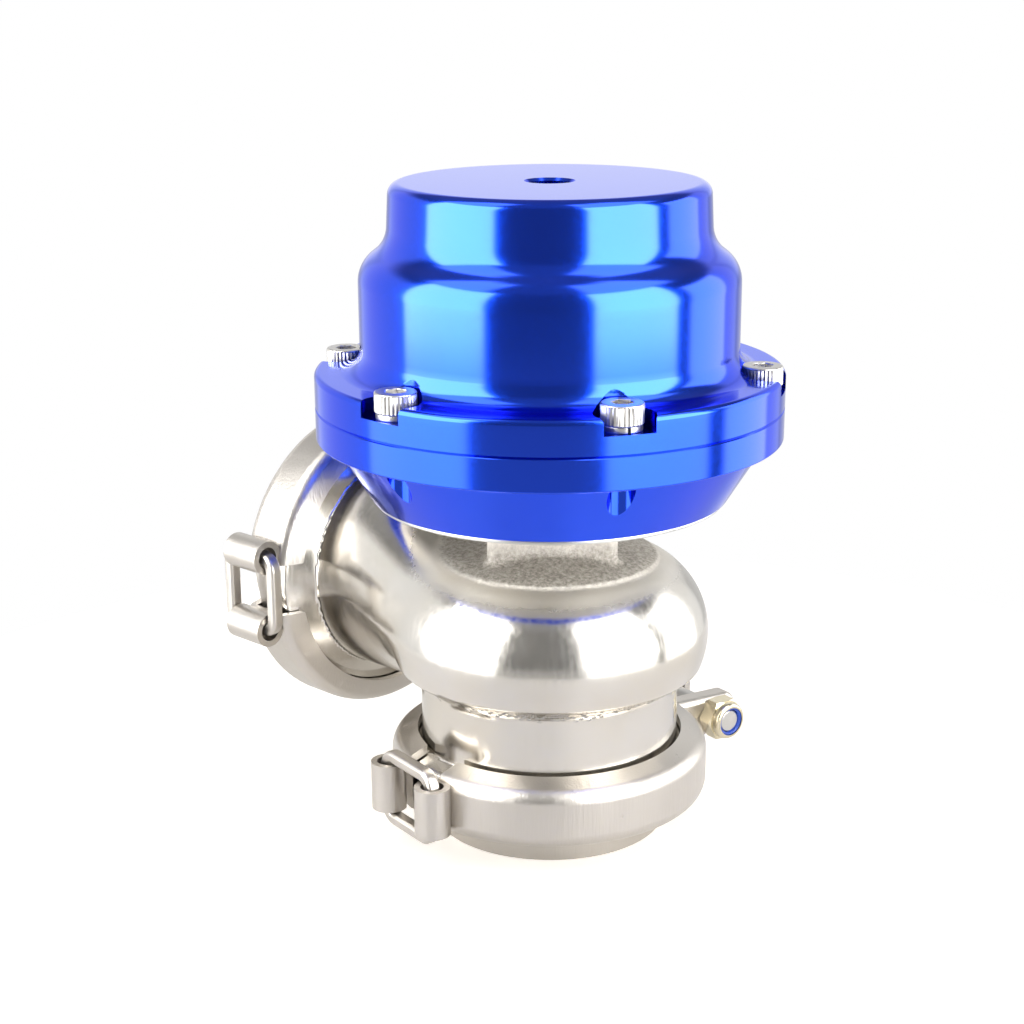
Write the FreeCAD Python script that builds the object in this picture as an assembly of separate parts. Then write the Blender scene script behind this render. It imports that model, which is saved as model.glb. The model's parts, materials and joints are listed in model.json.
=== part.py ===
"""External turbo wastegate, 44 mm class, with V-band clamps on inlet and outlet.

Millimetres, +Z up. The origin is on the valve axis at the lower face of the
inlet weld flange. The outlet points along -X.
"""
import FreeCAD, Part
import math
import os

os.makedirs("parts", exist_ok=True)

# Valve and seat
HEAD_R = 22.0
HEAD_CLEARANCE = 1.0
HEAD_RIM_T = 1.6
HEAD_RISE = 5.0
STEM_R = 4.0
STEM_THREAD_R = 3.0
STEM_END = 2.6
STEM_NUT_AF = 10.0
STEM_NUT_H = 5.0
SEAT_OVERLAP = 2.0
SEAT_FIT = 0.1
SEAT_H = 13.25
SEAT_FACE = 1.5
SEAT_GAP = 0.15
SEAT_LIP = 1.3
SEAT_LIP_T = 2.1

# Guide, seal and fits
GUIDE_R = 6.5
GUIDE_STANDOUT = 5.66
GUIDE_BOSS_WALL = 2.5
GUIDE_CLEARANCE = 0.05
SEAL_R = 7.0
SEAL_T = 2.5
PRESS_CLEARANCE = 0.03
THREAD_CLEARANCE = 0.05
SCREW_CLEARANCE = 0.3
TAP_RUN_OUT = 0.5

# Valve body casting
NECK_WALL = 2.1
BULB_R = 30.86
BULB_Z = 39.06
BULB_UPPER_ROUND = 15.6
BULB_LOWER_ROUND = 17.7
BULB_EDGE_DROP = 6.96
BODY_WALL = 3.0
BODY_TOP_Z = 65.8
SHOULDER_R = 20.5
SHOULDER_RISE = 3.3
COLUMN_FLAT = 11.0
COLUMN_FLAT_HALF = 6.3
POST_REACH = 16.5
POST_HALF = 0.9
OUTLET_LIFT = 4.34
OUTLET_JOINT = 49.7
OUTLET_BORE_R = 19.2
OUTLET_WALL = 2.7
DUCT_SECTIONS = 6
DUCT_POINTS = 24
DUCT_SINK = 0.8
DUCT_RUN_ON = 2.0

# Heat plate and the bolts that hold the housing to the body
PLATE_T = 0.8
PLATE_STEP = 0.6
BOLT_COUNT = 4
BOLT_CIRCLE_R = 12.0
BOLT_R = 2.45
BOLT_HEAD_R = 4.25
BOLT_HEAD_H = 5.0
BOLT_REACH = 8.0
BOLT_SOCKET_AF = 4.0
BOLT_SOCKET_DEPTH = 2.2
SCREW_HEAD_EDGE = 0.08
SCREW_END_EDGE = 0.15

# Lower housing
HOUSING_H = 17.6
HOUSING_FLOOR_T = 4.0
LOWER_FLANGE_T = 6.1
LOWER_FLANGE_STEP = 2.9
CONE_FOOT_R = 34.0
CHAMBER_ROUND = 2.0
SIDE_PORT_ANGLE = 120.0
SIDE_PORT_LIFT = 3.6
SIDE_PORT_FACE_R = 4.9
SIDE_PORT_SINK = 1.1

# Diaphragm, piston and springs; the cover and its flange are built out from the roll
ROLL_OUT_R = 32.0
ROLL_GAP = 4.9
ROLL_RISE = 2.8
ROLL_CLEARANCE = 0.2
DIAPHRAGM_T = 0.9
DIAPHRAGM_BEAD_T = 1.0
DIAPHRAGM_EDGE = 0.95
RETAINER_GAP = 1.4
RETAINER_T = 2.0
RETAINER_R = 24.0
CUP_BASE_T = 2.5
CUP_WALL = 1.55
CUP_DEPTH = 10.6
SPRING_CLEARANCE = 1.32
OUTER_SPRING_WIRE_R = 1.8
OUTER_SPRING_TURNS = 5.0
INNER_SPRING_R = 14.0
INNER_SPRING_WIRE_R = 1.3
INNER_SPRING_TURNS = 6.0
WIRE_SIDES = 8

# Cover
COVER_H = 41.0
COVER_WALL = 3.24
COVER_ROOF_T = 6.2
COVER_FLANGE_T = 6.6
COVER_STEP_DROP = 1.5
DOME_STEP = 5.28
DOME_STEP_DROP = 12.95
DOME_STEP_ANGLE = 53.4
DOME_STEP_ROUND = 6.3
DOME_TAPER = 0.56
DOME_EDGE_ROUND = 2.2
DOME_FOOT_ROUND = 4.0
RIM_FILLET = 1.0
RIM_CHAMFER = 0.3
PORT_R = 4.25
PORT_MOUTH = 0.52

# Cover screws
SCREW_COUNT = 6
SCREW_FIRST_ANGLE = -30.0
SCREW_FROM_DOME = 4.36
SCREW_FROM_RIM = 4.2
SCREW_R = 1.95
SCREW_HEAD_R = 3.8
SCREW_HEAD_H = 3.7
SCREW_LENGTH = 9.5
SCREW_SOCKET_AF = 3.5
SCREW_SOCKET_DEPTH = 2.2
NOTCH_DEPTH = 3.0
NOTCH_SHIFT = 1.2
NOTCH_ROOM = 1.3
SCALLOP_R = 2.5
WASHER_LIP = 0.25
WASHER_T = 1.1
WASHER_SPLIT = 0.6

# V-band joint: half widths are measured from the mating plane
INLET_JOINT_Z = 11.75
V_ANGLE = 20.0
V_CLEARANCE = 0.3
LIP_HALF = 6.9
LIP_FROM_NECK = 0.9
CLAMP_DEPTH = 5.0
CLAMP_T = 1.6
CLAMP_EDGE_ROUND = 1.6
FLANGE_RIM = 2.3
FLANGE_OVERLAP = 0.4
WELD_STEP = 0.3
WELD_WALL = 2.5
SPIGOT_WALL = 1.1
SPIGOT_H = 1.0
SPIGOT_CLEARANCE = 0.1

# Clamp ears: each half's ear starts at its own distance from the closure plane
CLOSURE_ANGLE = 79.0
EAR_A_GAP = 0.2
EAR_B_GAP = 11.0
EAR_LENGTH = 15.5
EAR_DEPTH = 3.7
EAR_PLATE_T = 1.5
EAR_ROOT_HALF = 4.9
EAR_TIP_HALF = 3.9
EAR_TIP_ROUND = 3.0
EAR_EDGE_ROUND = 1.4
EAR_OVERLAP = 1.0

# Clamp bolt and nut
BOLT_FROM_TIP = 6.0
CLAMP_BOLT_R = 2.45
CLAMP_BOLT_SLACK = 0.75
CLAMP_BOLT_HEAD_AF = 8.0
CLAMP_BOLT_HEAD_H = 3.5
CLAMP_NUT_AF = 8.0
CLAMP_NUT_H = 5.0
CLAMP_NUT_COLLAR_H = 1.7
CLAMP_NUT_COLLAR_STEP = 0.15
CLAMP_NUT_COLLAR_ROUND = 0.9
CLAMP_NUT_LIFT = 0.05
HEX_CHAMFER_ANGLE = 30.0
BOLT_END_SHORT = 0.6
INSERT_T = 0.7
INSERT_H = 1.3
INSERT_SINK = 0.2

# Clamp hinge
HINGE_OUT = 1.9
HINGE_HALF = 7.5
HINGE_GAP = 5.2
LOOP_WALL = 1.2
LOOP_HALF_H = 4.75
LINK_WIDE = 2.7
LINK_DEEP = 2.4
LINK_EDGE = 0.5
LINK_BEND_R = 2.6
LINK_CLEARANCE = 0.4
LINK_SLACK = 0.39

# Heights worked out from the sizes above, from the body up
SEAT_Z = INLET_JOINT_Z - SPIGOT_H
SEAT_TOP_Z = SEAT_Z + SEAT_H
BULB_EDGE_Z = BULB_Z - BULB_EDGE_DROP
BULB_ROOF_Z = BULB_Z + BULB_UPPER_ROUND - BODY_WALL
GUIDE_FOOT_Z = BULB_ROOF_Z - GUIDE_STANDOUT
OUTLET_Z = BULB_Z + OUTLET_LIFT
HOUSING_Z = BODY_TOP_Z + PLATE_T
FLOOR_Z = HOUSING_Z + HOUSING_FLOOR_T
SIDE_PORT_Z = FLOOR_Z + SIDE_PORT_LIFT
SEAM_Z = HOUSING_Z + HOUSING_H
LOWER_FLANGE_Z = SEAM_Z - LOWER_FLANGE_T
COVER_FLANGE_Z = SEAM_Z + COVER_FLANGE_T
NOTCH_Z = COVER_FLANGE_Z - NOTCH_DEPTH
TOP_Z = SEAM_Z + COVER_H
COVER_ROOF_Z = TOP_Z - COVER_ROOF_T
DOME_STEP_MID_Z = TOP_Z - DOME_STEP_DROP
RETAINER_Z = FLOOR_Z + BOLT_HEAD_H + RETAINER_GAP
DIAPHRAGM_Z = RETAINER_Z + RETAINER_T
ROLL_TOP_Z = SEAM_Z + ROLL_RISE
CUP_Z = DIAPHRAGM_Z + DIAPHRAGM_T
CUP_FLOOR_Z = CUP_Z + CUP_BASE_T
CUP_TOP_Z = CUP_FLOOR_Z + CUP_DEPTH
STEM_TOP_Z = CUP_FLOOR_Z + STEM_NUT_H + STEM_END

# Radii worked out from the valve head outwards
SEAT_BORE_R = HEAD_R - SEAT_OVERLAP
NECK_BORE_R = HEAD_R + HEAD_CLEARANCE
SEAT_R = NECK_BORE_R - SEAT_FIT
SEAT_LIP_R = SEAT_R + SEAT_LIP
NECK_R = NECK_BORE_R + NECK_WALL
OUTLET_R = OUTLET_BORE_R + OUTLET_WALL
WELD_BORE_R = SEAT_BORE_R + WELD_STEP
WELD_R = WELD_BORE_R + WELD_WALL
SPIGOT_R = WELD_BORE_R + SPIGOT_WALL
LIP_R = NECK_R + LIP_FROM_NECK
FLANGE_RIM_R = LIP_R + FLANGE_RIM
CLAMP_R = LIP_R + CLAMP_DEPTH
CROWN_IN_R = CLAMP_R - CLAMP_T
EAR_REACH = CLAMP_R + EAR_LENGTH
CLAMP_BOLT_AT = EAR_REACH - BOLT_FROM_TIP
HINGE_AT = CLAMP_R + HINGE_OUT
LOOP_BORE_R = math.hypot(LINK_WIDE, LINK_DEEP) / 2 + LINK_SLACK
LOOP_R = LOOP_BORE_R + LOOP_WALL
V_SLOPE = math.tan(math.radians(V_ANGLE))
V_THICK = CLAMP_T / math.cos(math.radians(V_ANGLE))

# Radii worked out from the diaphragm's roll outwards
ROLL_IN_R = ROLL_OUT_R - ROLL_GAP
CUP_R = ROLL_IN_R - PRESS_CLEARANCE
OUTER_SPRING_R = CUP_R - CUP_WALL - SPRING_CLEARANCE - OUTER_SPRING_WIRE_R
CHAMBER_R = ROLL_OUT_R - ROLL_CLEARANCE
COVER_INNER_R = ROLL_OUT_R + ROLL_CLEARANCE
DOME_LOW_R = COVER_INNER_R + COVER_WALL
DOME_HIGH_R = DOME_LOW_R - DOME_STEP
DOME_TOP_R = DOME_HIGH_R - DOME_TAPER
SCREW_CIRCLE_R = DOME_LOW_R + SCREW_FROM_DOME
NOTCH_CIRCLE_R = SCREW_CIRCLE_R + NOTCH_SHIFT
NOTCH_R = SCREW_HEAD_R + NOTCH_ROOM
WASHER_R = SCREW_HEAD_R - WASHER_LIP
FLANGE_R = SCREW_CIRCLE_R + SCREW_FROM_RIM
DIAPHRAGM_R = SCREW_CIRCLE_R - SCREW_R - DIAPHRAGM_EDGE
CONE_TOP_R = FLANGE_R - LOWER_FLANGE_STEP
PLATE_R = CONE_FOOT_R - PLATE_STEP

# Cutters are longer than any cut, and run past the faces that they start from
CUTTER = 200.0
PAST = 1.0
EDGE_FUZZ = 0.001

UP = FreeCAD.Vector(0, 0, 1)
ALONG_X = FreeCAD.Vector(1, 0, 0)
ALONG_Y = FreeCAD.Vector(0, 1, 0)
ORIGIN = FreeCAD.Vector(0, 0, 0)


def point(r, z):
    """Point of a section in the XZ half plane."""
    return FreeCAD.Vector(r, 0, z)


def rounded_wire(corners):
    """Closed wire through (r, z) or (r, z, round) corners, each round an arc."""
    starts = []
    ends = []
    arcs = []
    count = len(corners)
    for i, corner in enumerate(corners):
        here = point(corner[0], corner[1])
        size = corner[2] if len(corner) > 2 else 0.0
        if size <= 0:
            starts.append(here)
            ends.append(here)
            arcs.append(None)
            continue
        before = corners[i - 1]
        after = corners[(i + 1) % count]
        back = (point(before[0], before[1]) - here).normalize()
        ahead = (point(after[0], after[1]) - here).normalize()
        half = back.getAngle(ahead) / 2
        tangent = size / math.tan(half)
        start = here + back * tangent
        end = here + ahead * tangent
        centre = here + (back + ahead).normalize() * (size / math.sin(half))
        middle = centre + (here - centre).normalize() * size
        starts.append(start)
        ends.append(end)
        arcs.append(Part.Arc(start, middle, end).toShape())
    edges = []
    for i in range(count):
        if arcs[i] is not None:
            edges.append(arcs[i])
        following = starts[(i + 1) % count]
        if (following - ends[i]).Length > 1e-6:
            edges.append(Part.LineSegment(ends[i], following).toShape())
    return Part.Wire(edges)


def turned(corners, angle=360.0):
    """Solid of revolution about Z from a rounded section."""
    return Part.Face(rounded_wire(corners)).revolve(ORIGIN, UP, angle)


def cylinder(r, z0, z1, x=0.0, y=0.0):
    """Upright cylinder between two heights."""
    return Part.makeCylinder(r, z1 - z0, FreeCAD.Vector(x, y, z0), UP)


def tube(r_out, r_in, z0, z1, x=0.0, y=0.0):
    """Upright tube between two heights."""
    return cylinder(r_out, z0, z1, x, y).cut(cylinder(r_in, z0 - PAST, z1 + PAST, x, y))


def block(x0, x1, y0, y1, z0, z1):
    """Box between two corners."""
    return Part.makeBox(x1 - x0, y1 - y0, z1 - z0, FreeCAD.Vector(x0, y0, z0))


def hexagon(across_flats, z0, z1):
    """Upright hexagonal prism, flats facing +-Y."""
    r = across_flats / math.sqrt(3)
    corners = []
    for i in range(7):
        turn = math.radians(60 * i)
        corners.append(FreeCAD.Vector(r * math.cos(turn), r * math.sin(turn), z0))
    return Part.Face(Part.makePolygon(corners)).extrude(UP * (z1 - z0))


def on_circle(shape, r, angle):
    """Copy of a shape moved out to radius r and turned by angle about Z."""
    copy = shape.copy()
    copy.translate(FreeCAD.Vector(r, 0, 0))
    copy.rotate(ORIGIN, UP, angle)
    return copy


def ring_of(shape, r, count, first):
    """List of copies of a shape, evenly spaced on a circle."""
    return [on_circle(shape, r, first + 360.0 * i / count) for i in range(count)]


def cut_all(shape, tools):
    """Shape with every tool cut out of it."""
    for tool in tools:
        shape = shape.cut(tool)
    return shape


def export(name, shape):
    """Write one node; a group of solids is written as a compound."""
    shape.exportStep("parts/" + name + ".step")
    print(name, "solids", len(shape.Solids), "volume", round(shape.Volume, 1))


def v_half(r):
    """Half width of a clamped flange pair at radius r, measured on the flange."""
    return LIP_HALF - V_THICK - (r - LIP_R) * V_SLOPE - V_CLEARANCE


# The cover: a turned dome with a step, six notches for the screws and a centre port.

def top_cover():
    climb = DOME_STEP / 2 / math.tan(math.radians(DOME_STEP_ANGLE))
    outer = [
        (0, TOP_Z),
        (DOME_TOP_R, TOP_Z, DOME_EDGE_ROUND),
        (DOME_HIGH_R, DOME_STEP_MID_Z + climb, DOME_STEP_ROUND),
        (DOME_LOW_R, DOME_STEP_MID_Z - climb, DOME_STEP_ROUND),
        (DOME_LOW_R, COVER_FLANGE_Z, DOME_FOOT_ROUND),
        (FLANGE_R, COVER_FLANGE_Z, RIM_FILLET),
        (FLANGE_R, SEAM_Z + RIM_CHAMFER),
        (FLANGE_R - RIM_CHAMFER, SEAM_Z),
    ]
    inner_high = DOME_HIGH_R - COVER_WALL
    inner = [
        (COVER_INNER_R, SEAM_Z),
        (COVER_INNER_R, DOME_STEP_MID_Z - climb - COVER_STEP_DROP, DOME_STEP_ROUND / 2),
        (inner_high, DOME_STEP_MID_Z + climb - COVER_STEP_DROP, DOME_STEP_ROUND / 2),
        (inner_high, COVER_ROOF_Z, DOME_EDGE_ROUND),
        (0, COVER_ROOF_Z),
    ]
    cover = turned(outer + inner)
    cover = cover.cut(cylinder(PORT_R, COVER_ROOF_Z - PAST, TOP_Z + PAST))
    mouth = Part.makeCone(PORT_R, PORT_R + PORT_MOUTH, PORT_MOUTH, point(0, TOP_Z - PORT_MOUTH), UP)
    cover = cover.cut(mouth)
    notch = cylinder(NOTCH_R, NOTCH_Z, NOTCH_Z + CUTTER)
    hole = cylinder(SCREW_R + SCREW_CLEARANCE, SEAM_Z - PAST, NOTCH_Z + PAST)
    cover = cut_all(cover, ring_of(notch, NOTCH_CIRCLE_R, SCREW_COUNT, SCREW_FIRST_ANGLE))
    return cut_all(cover, ring_of(hole, SCREW_CIRCLE_R, SCREW_COUNT, SCREW_FIRST_ANGLE))


# The lower housing: flange and cone, an air chamber, the stem hole and bolt holes.

def lower_housing():
    housing = turned([
        (0, HOUSING_Z),
        (CONE_FOOT_R, HOUSING_Z),
        (CONE_TOP_R, LOWER_FLANGE_Z),
        (FLANGE_R, LOWER_FLANGE_Z),
        (FLANGE_R, SEAM_Z - RIM_CHAMFER),
        (FLANGE_R - RIM_CHAMFER, SEAM_Z),
        (DIAPHRAGM_R, SEAM_Z),
        (DIAPHRAGM_R, SEAM_Z - DIAPHRAGM_BEAD_T),
        (CHAMBER_R, SEAM_Z - DIAPHRAGM_BEAD_T),
        (CHAMBER_R, FLOOR_Z, CHAMBER_ROUND),
        (0, FLOOR_Z),
    ])
    housing = housing.cut(cylinder(STEM_R + SCREW_CLEARANCE, HOUSING_Z - PAST, FLOOR_Z + PAST))
    housing = housing.cut(cylinder(SEAL_R + PRESS_CLEARANCE, FLOOR_Z - SEAL_T, FLOOR_Z + PAST))
    tapped = cylinder(SCREW_R + THREAD_CLEARANCE, HOUSING_Z, SEAM_Z + PAST)
    scallop = cylinder(SCALLOP_R, HOUSING_Z, LOWER_FLANGE_Z)
    housing = cut_all(housing, ring_of(tapped, SCREW_CIRCLE_R, SCREW_COUNT, SCREW_FIRST_ANGLE))
    housing = cut_all(housing, ring_of(scallop, SCREW_CIRCLE_R, SCREW_COUNT, SCREW_FIRST_ANGLE))
    bolt_hole = cylinder(BOLT_R + SCREW_CLEARANCE, HOUSING_Z - PAST, FLOOR_Z + PAST)
    housing = cut_all(housing, ring_of(bolt_hole, BOLT_CIRCLE_R, BOLT_COUNT, 0.0))
    climb = (SIDE_PORT_Z - HOUSING_Z) / (LOWER_FLANGE_Z - HOUSING_Z)
    face_at = CONE_FOOT_R + climb * (CONE_TOP_R - CONE_FOOT_R) - SIDE_PORT_SINK
    start = CHAMBER_R - CHAMBER_ROUND
    port = Part.makeCylinder(PORT_R, FLANGE_R - start, point(start, SIDE_PORT_Z), ALONG_X)
    face = Part.makeCylinder(SIDE_PORT_FACE_R, FLANGE_R, point(face_at, SIDE_PORT_Z), ALONG_X)
    port = port.fuse(face)
    port.rotate(ORIGIN, UP, SIDE_PORT_ANGLE)
    return housing.cut(port)


def socket_screw(r, head_r, head_h, length, socket_af, socket_depth):
    """Socket-head screw, head underside at z = 0, shank downwards."""
    end_edge = SCREW_END_EDGE * r
    screw = turned([
        (0, -length),
        (r - end_edge, -length),
        (r, -length + end_edge),
        (r, 0),
        (head_r, 0),
        (head_r, head_h, SCREW_HEAD_EDGE * head_r),
        (0, head_h),
    ])
    return screw.cut(hexagon(socket_af, head_h - socket_depth, head_h + PAST))


def cover_screws():
    screw = socket_screw(SCREW_R, SCREW_HEAD_R, SCREW_HEAD_H, SCREW_LENGTH, SCREW_SOCKET_AF, SCREW_SOCKET_DEPTH)
    screw.translate(FreeCAD.Vector(0, 0, NOTCH_Z + WASHER_T))
    return Part.makeCompound(ring_of(screw, SCREW_CIRCLE_R, SCREW_COUNT, SCREW_FIRST_ANGLE))


def cover_washers():
    top = NOTCH_Z + WASHER_T
    washer = tube(WASHER_R, SCREW_R + SCREW_CLEARANCE / 2, NOTCH_Z, top)
    split = block(0, WASHER_R + PAST, -WASHER_SPLIT / 2, WASHER_SPLIT / 2, NOTCH_Z - PAST, top + PAST)
    return Part.makeCompound(ring_of(washer.cut(split), SCREW_CIRCLE_R, SCREW_COUNT, SCREW_FIRST_ANGLE))


# The diaphragm: a clamped rim, one rolled convolution and a disc under the piston cup.

def diaphragm():
    roll_mid_r = (ROLL_OUT_R + ROLL_IN_R) / 2
    roll_r = (ROLL_OUT_R - ROLL_IN_R) / 2
    thin_r = roll_r - DIAPHRAGM_T
    hole_r = STEM_THREAD_R + SCREW_CLEARANCE
    leg_out = ROLL_OUT_R - DIAPHRAGM_T
    leg_in = ROLL_IN_R + DIAPHRAGM_T
    rim_z = SEAM_Z - DIAPHRAGM_BEAD_T
    over = Part.Arc(
        point(ROLL_OUT_R, ROLL_TOP_Z),
        point(roll_mid_r, ROLL_TOP_Z + roll_r),
        point(ROLL_IN_R, ROLL_TOP_Z),
    ).toShape()
    under = Part.Arc(
        point(leg_in, ROLL_TOP_Z),
        point(roll_mid_r, ROLL_TOP_Z + thin_r),
        point(leg_out, ROLL_TOP_Z),
    ).toShape()
    rim = Part.makePolygon([
        point(leg_out, ROLL_TOP_Z),
        point(leg_out, rim_z),
        point(DIAPHRAGM_R, rim_z),
        point(DIAPHRAGM_R, SEAM_Z),
        point(ROLL_OUT_R, SEAM_Z),
        point(ROLL_OUT_R, ROLL_TOP_Z),
    ])
    disc = Part.makePolygon([
        point(ROLL_IN_R, ROLL_TOP_Z),
        point(ROLL_IN_R, CUP_Z),
        point(hole_r, CUP_Z),
        point(hole_r, DIAPHRAGM_Z),
        point(leg_in, DIAPHRAGM_Z),
        point(leg_in, ROLL_TOP_Z),
    ])
    wire = Part.Wire(rim.Edges + [over] + disc.Edges + [under])
    return Part.Face(wire).revolve(ORIGIN, UP, 360)


def piston_cup():
    hole_r = STEM_THREAD_R + THREAD_CLEARANCE
    return turned([
        (hole_r, CUP_Z),
        (CUP_R, CUP_Z),
        (CUP_R, CUP_TOP_Z),
        (CUP_R - CUP_WALL, CUP_TOP_Z),
        (CUP_R - CUP_WALL, CUP_FLOOR_Z),
        (hole_r, CUP_FLOOR_Z),
    ])


def retainer_plate():
    return tube(RETAINER_R, STEM_THREAD_R + THREAD_CLEARANCE, RETAINER_Z, DIAPHRAGM_Z)


def coil_spring(mean_r, wire_r, turns):
    """Compression spring with ground ends, from the cup floor to the cover's roof.

    The wire's section is a polygon with the wire's own radius.
    """
    length = COVER_ROOF_Z - CUP_FLOOR_Z
    pitch = (length + wire_r) / turns
    path = Part.makeHelix(pitch, pitch * turns, mean_r)
    corners = []
    for i in range(WIRE_SIDES + 1):
        turn = 2 * math.pi * (i + 0.5) / WIRE_SIDES
        corners.append(point(mean_r + wire_r * math.cos(turn), wire_r * math.sin(turn)))
    coil = Part.Wire(path.Edges).makePipeShell([Part.makePolygon(corners)], True, True)
    coil.translate(FreeCAD.Vector(0, 0, CUP_FLOOR_Z - wire_r / 2))
    return coil.common(cylinder(mean_r + 2 * wire_r, CUP_FLOOR_Z, COVER_ROOF_Z))


def stem_nut():
    nut = hexagon(STEM_NUT_AF, CUP_FLOOR_Z, CUP_FLOOR_Z + STEM_NUT_H)
    bore = cylinder(STEM_THREAD_R + THREAD_CLEARANCE, CUP_FLOOR_Z - PAST, CUP_FLOOR_Z + STEM_NUT_H + PAST)
    return nut.cut(bore)


# The valve: a poppet with a 45 degree face that seats on the ring in the inlet neck.

def valve():
    face_low = SEAT_TOP_Z - SEAT_FACE + SEAT_GAP
    face_reach = HEAD_R - SEAT_BORE_R
    rim_low = face_low + face_reach
    rim_high = rim_low + HEAD_RIM_T
    return turned([
        (0, face_low),
        (SEAT_BORE_R, face_low),
        (HEAD_R, rim_low),
        (HEAD_R, rim_high),
        (STEM_R, rim_high + HEAD_RISE, HEAD_RISE),
        (STEM_R, RETAINER_Z),
        (STEM_THREAD_R, RETAINER_Z),
        (STEM_THREAD_R, STEM_TOP_Z),
        (0, STEM_TOP_Z),
    ])


def guide_bush():
    return tube(GUIDE_R, STEM_R + GUIDE_CLEARANCE, GUIDE_FOOT_Z, BODY_TOP_Z)


def stem_seal():
    return tube(SEAL_R, STEM_R + GUIDE_CLEARANCE, FLOOR_Z - SEAL_T, FLOOR_Z)


def valve_seat():
    lip_high = SEAT_Z + SEAT_LIP_T
    return turned([
        (SEAT_BORE_R, SEAT_Z),
        (SEAT_LIP_R, SEAT_Z),
        (SEAT_LIP_R, lip_high),
        (SEAT_R, lip_high),
        (SEAT_R, SEAT_TOP_Z),
        (SEAT_BORE_R + SEAT_FACE, SEAT_TOP_Z),
        (SEAT_BORE_R, SEAT_TOP_Z - SEAT_FACE),
    ])


def heat_plate():
    plate = tube(PLATE_R, GUIDE_R, BODY_TOP_Z, HOUSING_Z)
    hole = cylinder(BOLT_R + SCREW_CLEARANCE, BODY_TOP_Z - PAST, HOUSING_Z + PAST)
    return cut_all(plate, ring_of(hole, BOLT_CIRCLE_R, BOLT_COUNT, 0.0))


def housing_bolts():
    length = FLOOR_Z - BODY_TOP_Z + BOLT_REACH
    bolt = socket_screw(BOLT_R, BOLT_HEAD_R, BOLT_HEAD_H, length, BOLT_SOCKET_AF, BOLT_SOCKET_DEPTH)
    bolt.translate(point(0, FLOOR_Z))
    return Part.makeCompound(ring_of(bolt, BOLT_CIRCLE_R, BOLT_COUNT, 0.0))


# The casting: inlet neck, cove, bulb, pocketed column with four posts and outlet pipe.

def bulb_arc(round_r, inset, z_from, z_to):
    """Arc of the bulb's meridian between two heights, inset from the outside."""
    centre_r = BULB_R - round_r
    r = round_r - inset

    def at(z):
        return point(centre_r + math.sqrt(max(0.0, r * r - (z - BULB_Z) ** 2)), z)

    return Part.Arc(at(z_from), at((z_from + z_to) / 2), at(z_to)).toShape()


def end_of(edge, last=True):
    """First or last point of an edge."""
    return edge.valueAt(edge.LastParameter if last else edge.FirstParameter)


def bulb_outside():
    upper_centre_r = BULB_R - BULB_UPPER_ROUND
    shoulder_z = BULB_Z + math.sqrt(BULB_UPPER_ROUND ** 2 - (SHOULDER_R - upper_centre_r) ** 2)
    lower = bulb_arc(BULB_LOWER_ROUND, 0.0, BULB_EDGE_Z, BULB_Z)
    upper = bulb_arc(BULB_UPPER_ROUND, 0.0, BULB_Z, shoulder_z)
    edge = end_of(lower, False)
    cove_r = edge.x - NECK_R
    half_turn = cove_r * math.sqrt(0.5)
    cove = Part.Arc(
        point(NECK_R, edge.z - cove_r),
        point(edge.x - half_turn, edge.z - cove_r + half_turn),
        edge,
    ).toShape()
    lines = Part.makePolygon([
        end_of(upper),
        point(COLUMN_FLAT, shoulder_z + SHOULDER_RISE),
        point(0, shoulder_z + SHOULDER_RISE),
        point(0, INLET_JOINT_Z),
        point(NECK_R, INLET_JOINT_Z),
        point(NECK_R, edge.z - cove_r),
    ])
    wire = Part.Wire(Part.__sortEdges__([lower, upper, cove] + lines.Edges))
    return Part.Face(wire).revolve(ORIGIN, UP, 360)


def bulb_reach(turn, inset):
    """Distance from the bulb's centre line to its wall across the outlet, at an angle."""
    round_r = BULB_UPPER_ROUND if math.sin(turn) > 0 else BULB_LOWER_ROUND
    centre_r = BULB_R - round_r
    round_r = round_r - inset
    along = abs(math.cos(turn))
    rise = abs(math.sin(turn))
    on_arc = centre_r * along + math.sqrt(max(0.0, round_r ** 2 - (centre_r * rise) ** 2))
    if on_arc * along >= centre_r:
        return on_arc
    return round_r / rise


def duct(inset, end_r, run_on):
    """Duct that starts as the bulb's own cross-section and ends as the round outlet."""
    end = OUTLET_JOINT - v_half(OUTLET_R)
    stations = [(end * i / DUCT_SECTIONS, i / DUCT_SECTIONS) for i in range(DUCT_SECTIONS + 1)]
    stations.append((end + run_on, 1.0))
    sections = []
    for at, part in stations:
        share = part ** 2 * (3 - 2 * part)
        centre_z = BULB_Z + share * (OUTLET_Z - BULB_Z)
        sunk = DUCT_SINK * (1 - part)
        points = []
        for k in range(DUCT_POINTS):
            turn = 2 * math.pi * (k + 0.5) / DUCT_POINTS
            reach = (1 - share) * bulb_reach(turn, inset + sunk) + share * end_r
            points.append(FreeCAD.Vector(-at, reach * math.cos(turn), centre_z + reach * math.sin(turn)))
        curve = Part.BSplineCurve()
        curve.interpolate(Points=points, PeriodicFlag=True)
        sections.append(Part.Wire(curve.toShape()))
    return Part.makeLoft(sections, True)


def flange_solid(inner_r, neck_r):
    """One V-band flange, mating face at z = 0 and its neck towards +z."""
    foot_r = neck_r - FLANGE_OVERLAP
    return turned([
        (inner_r, 0),
        (FLANGE_RIM_R, 0),
        (FLANGE_RIM_R, v_half(FLANGE_RIM_R)),
        (foot_r, v_half(foot_r)),
        (inner_r, v_half(foot_r)),
    ])


def to_outlet(shape):
    """Copy of a shape drawn on the inlet axis, moved to the outlet joint."""
    copy = shape.copy()
    copy.Placement = outlet_placement().multiply(copy.Placement)
    return copy


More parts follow.
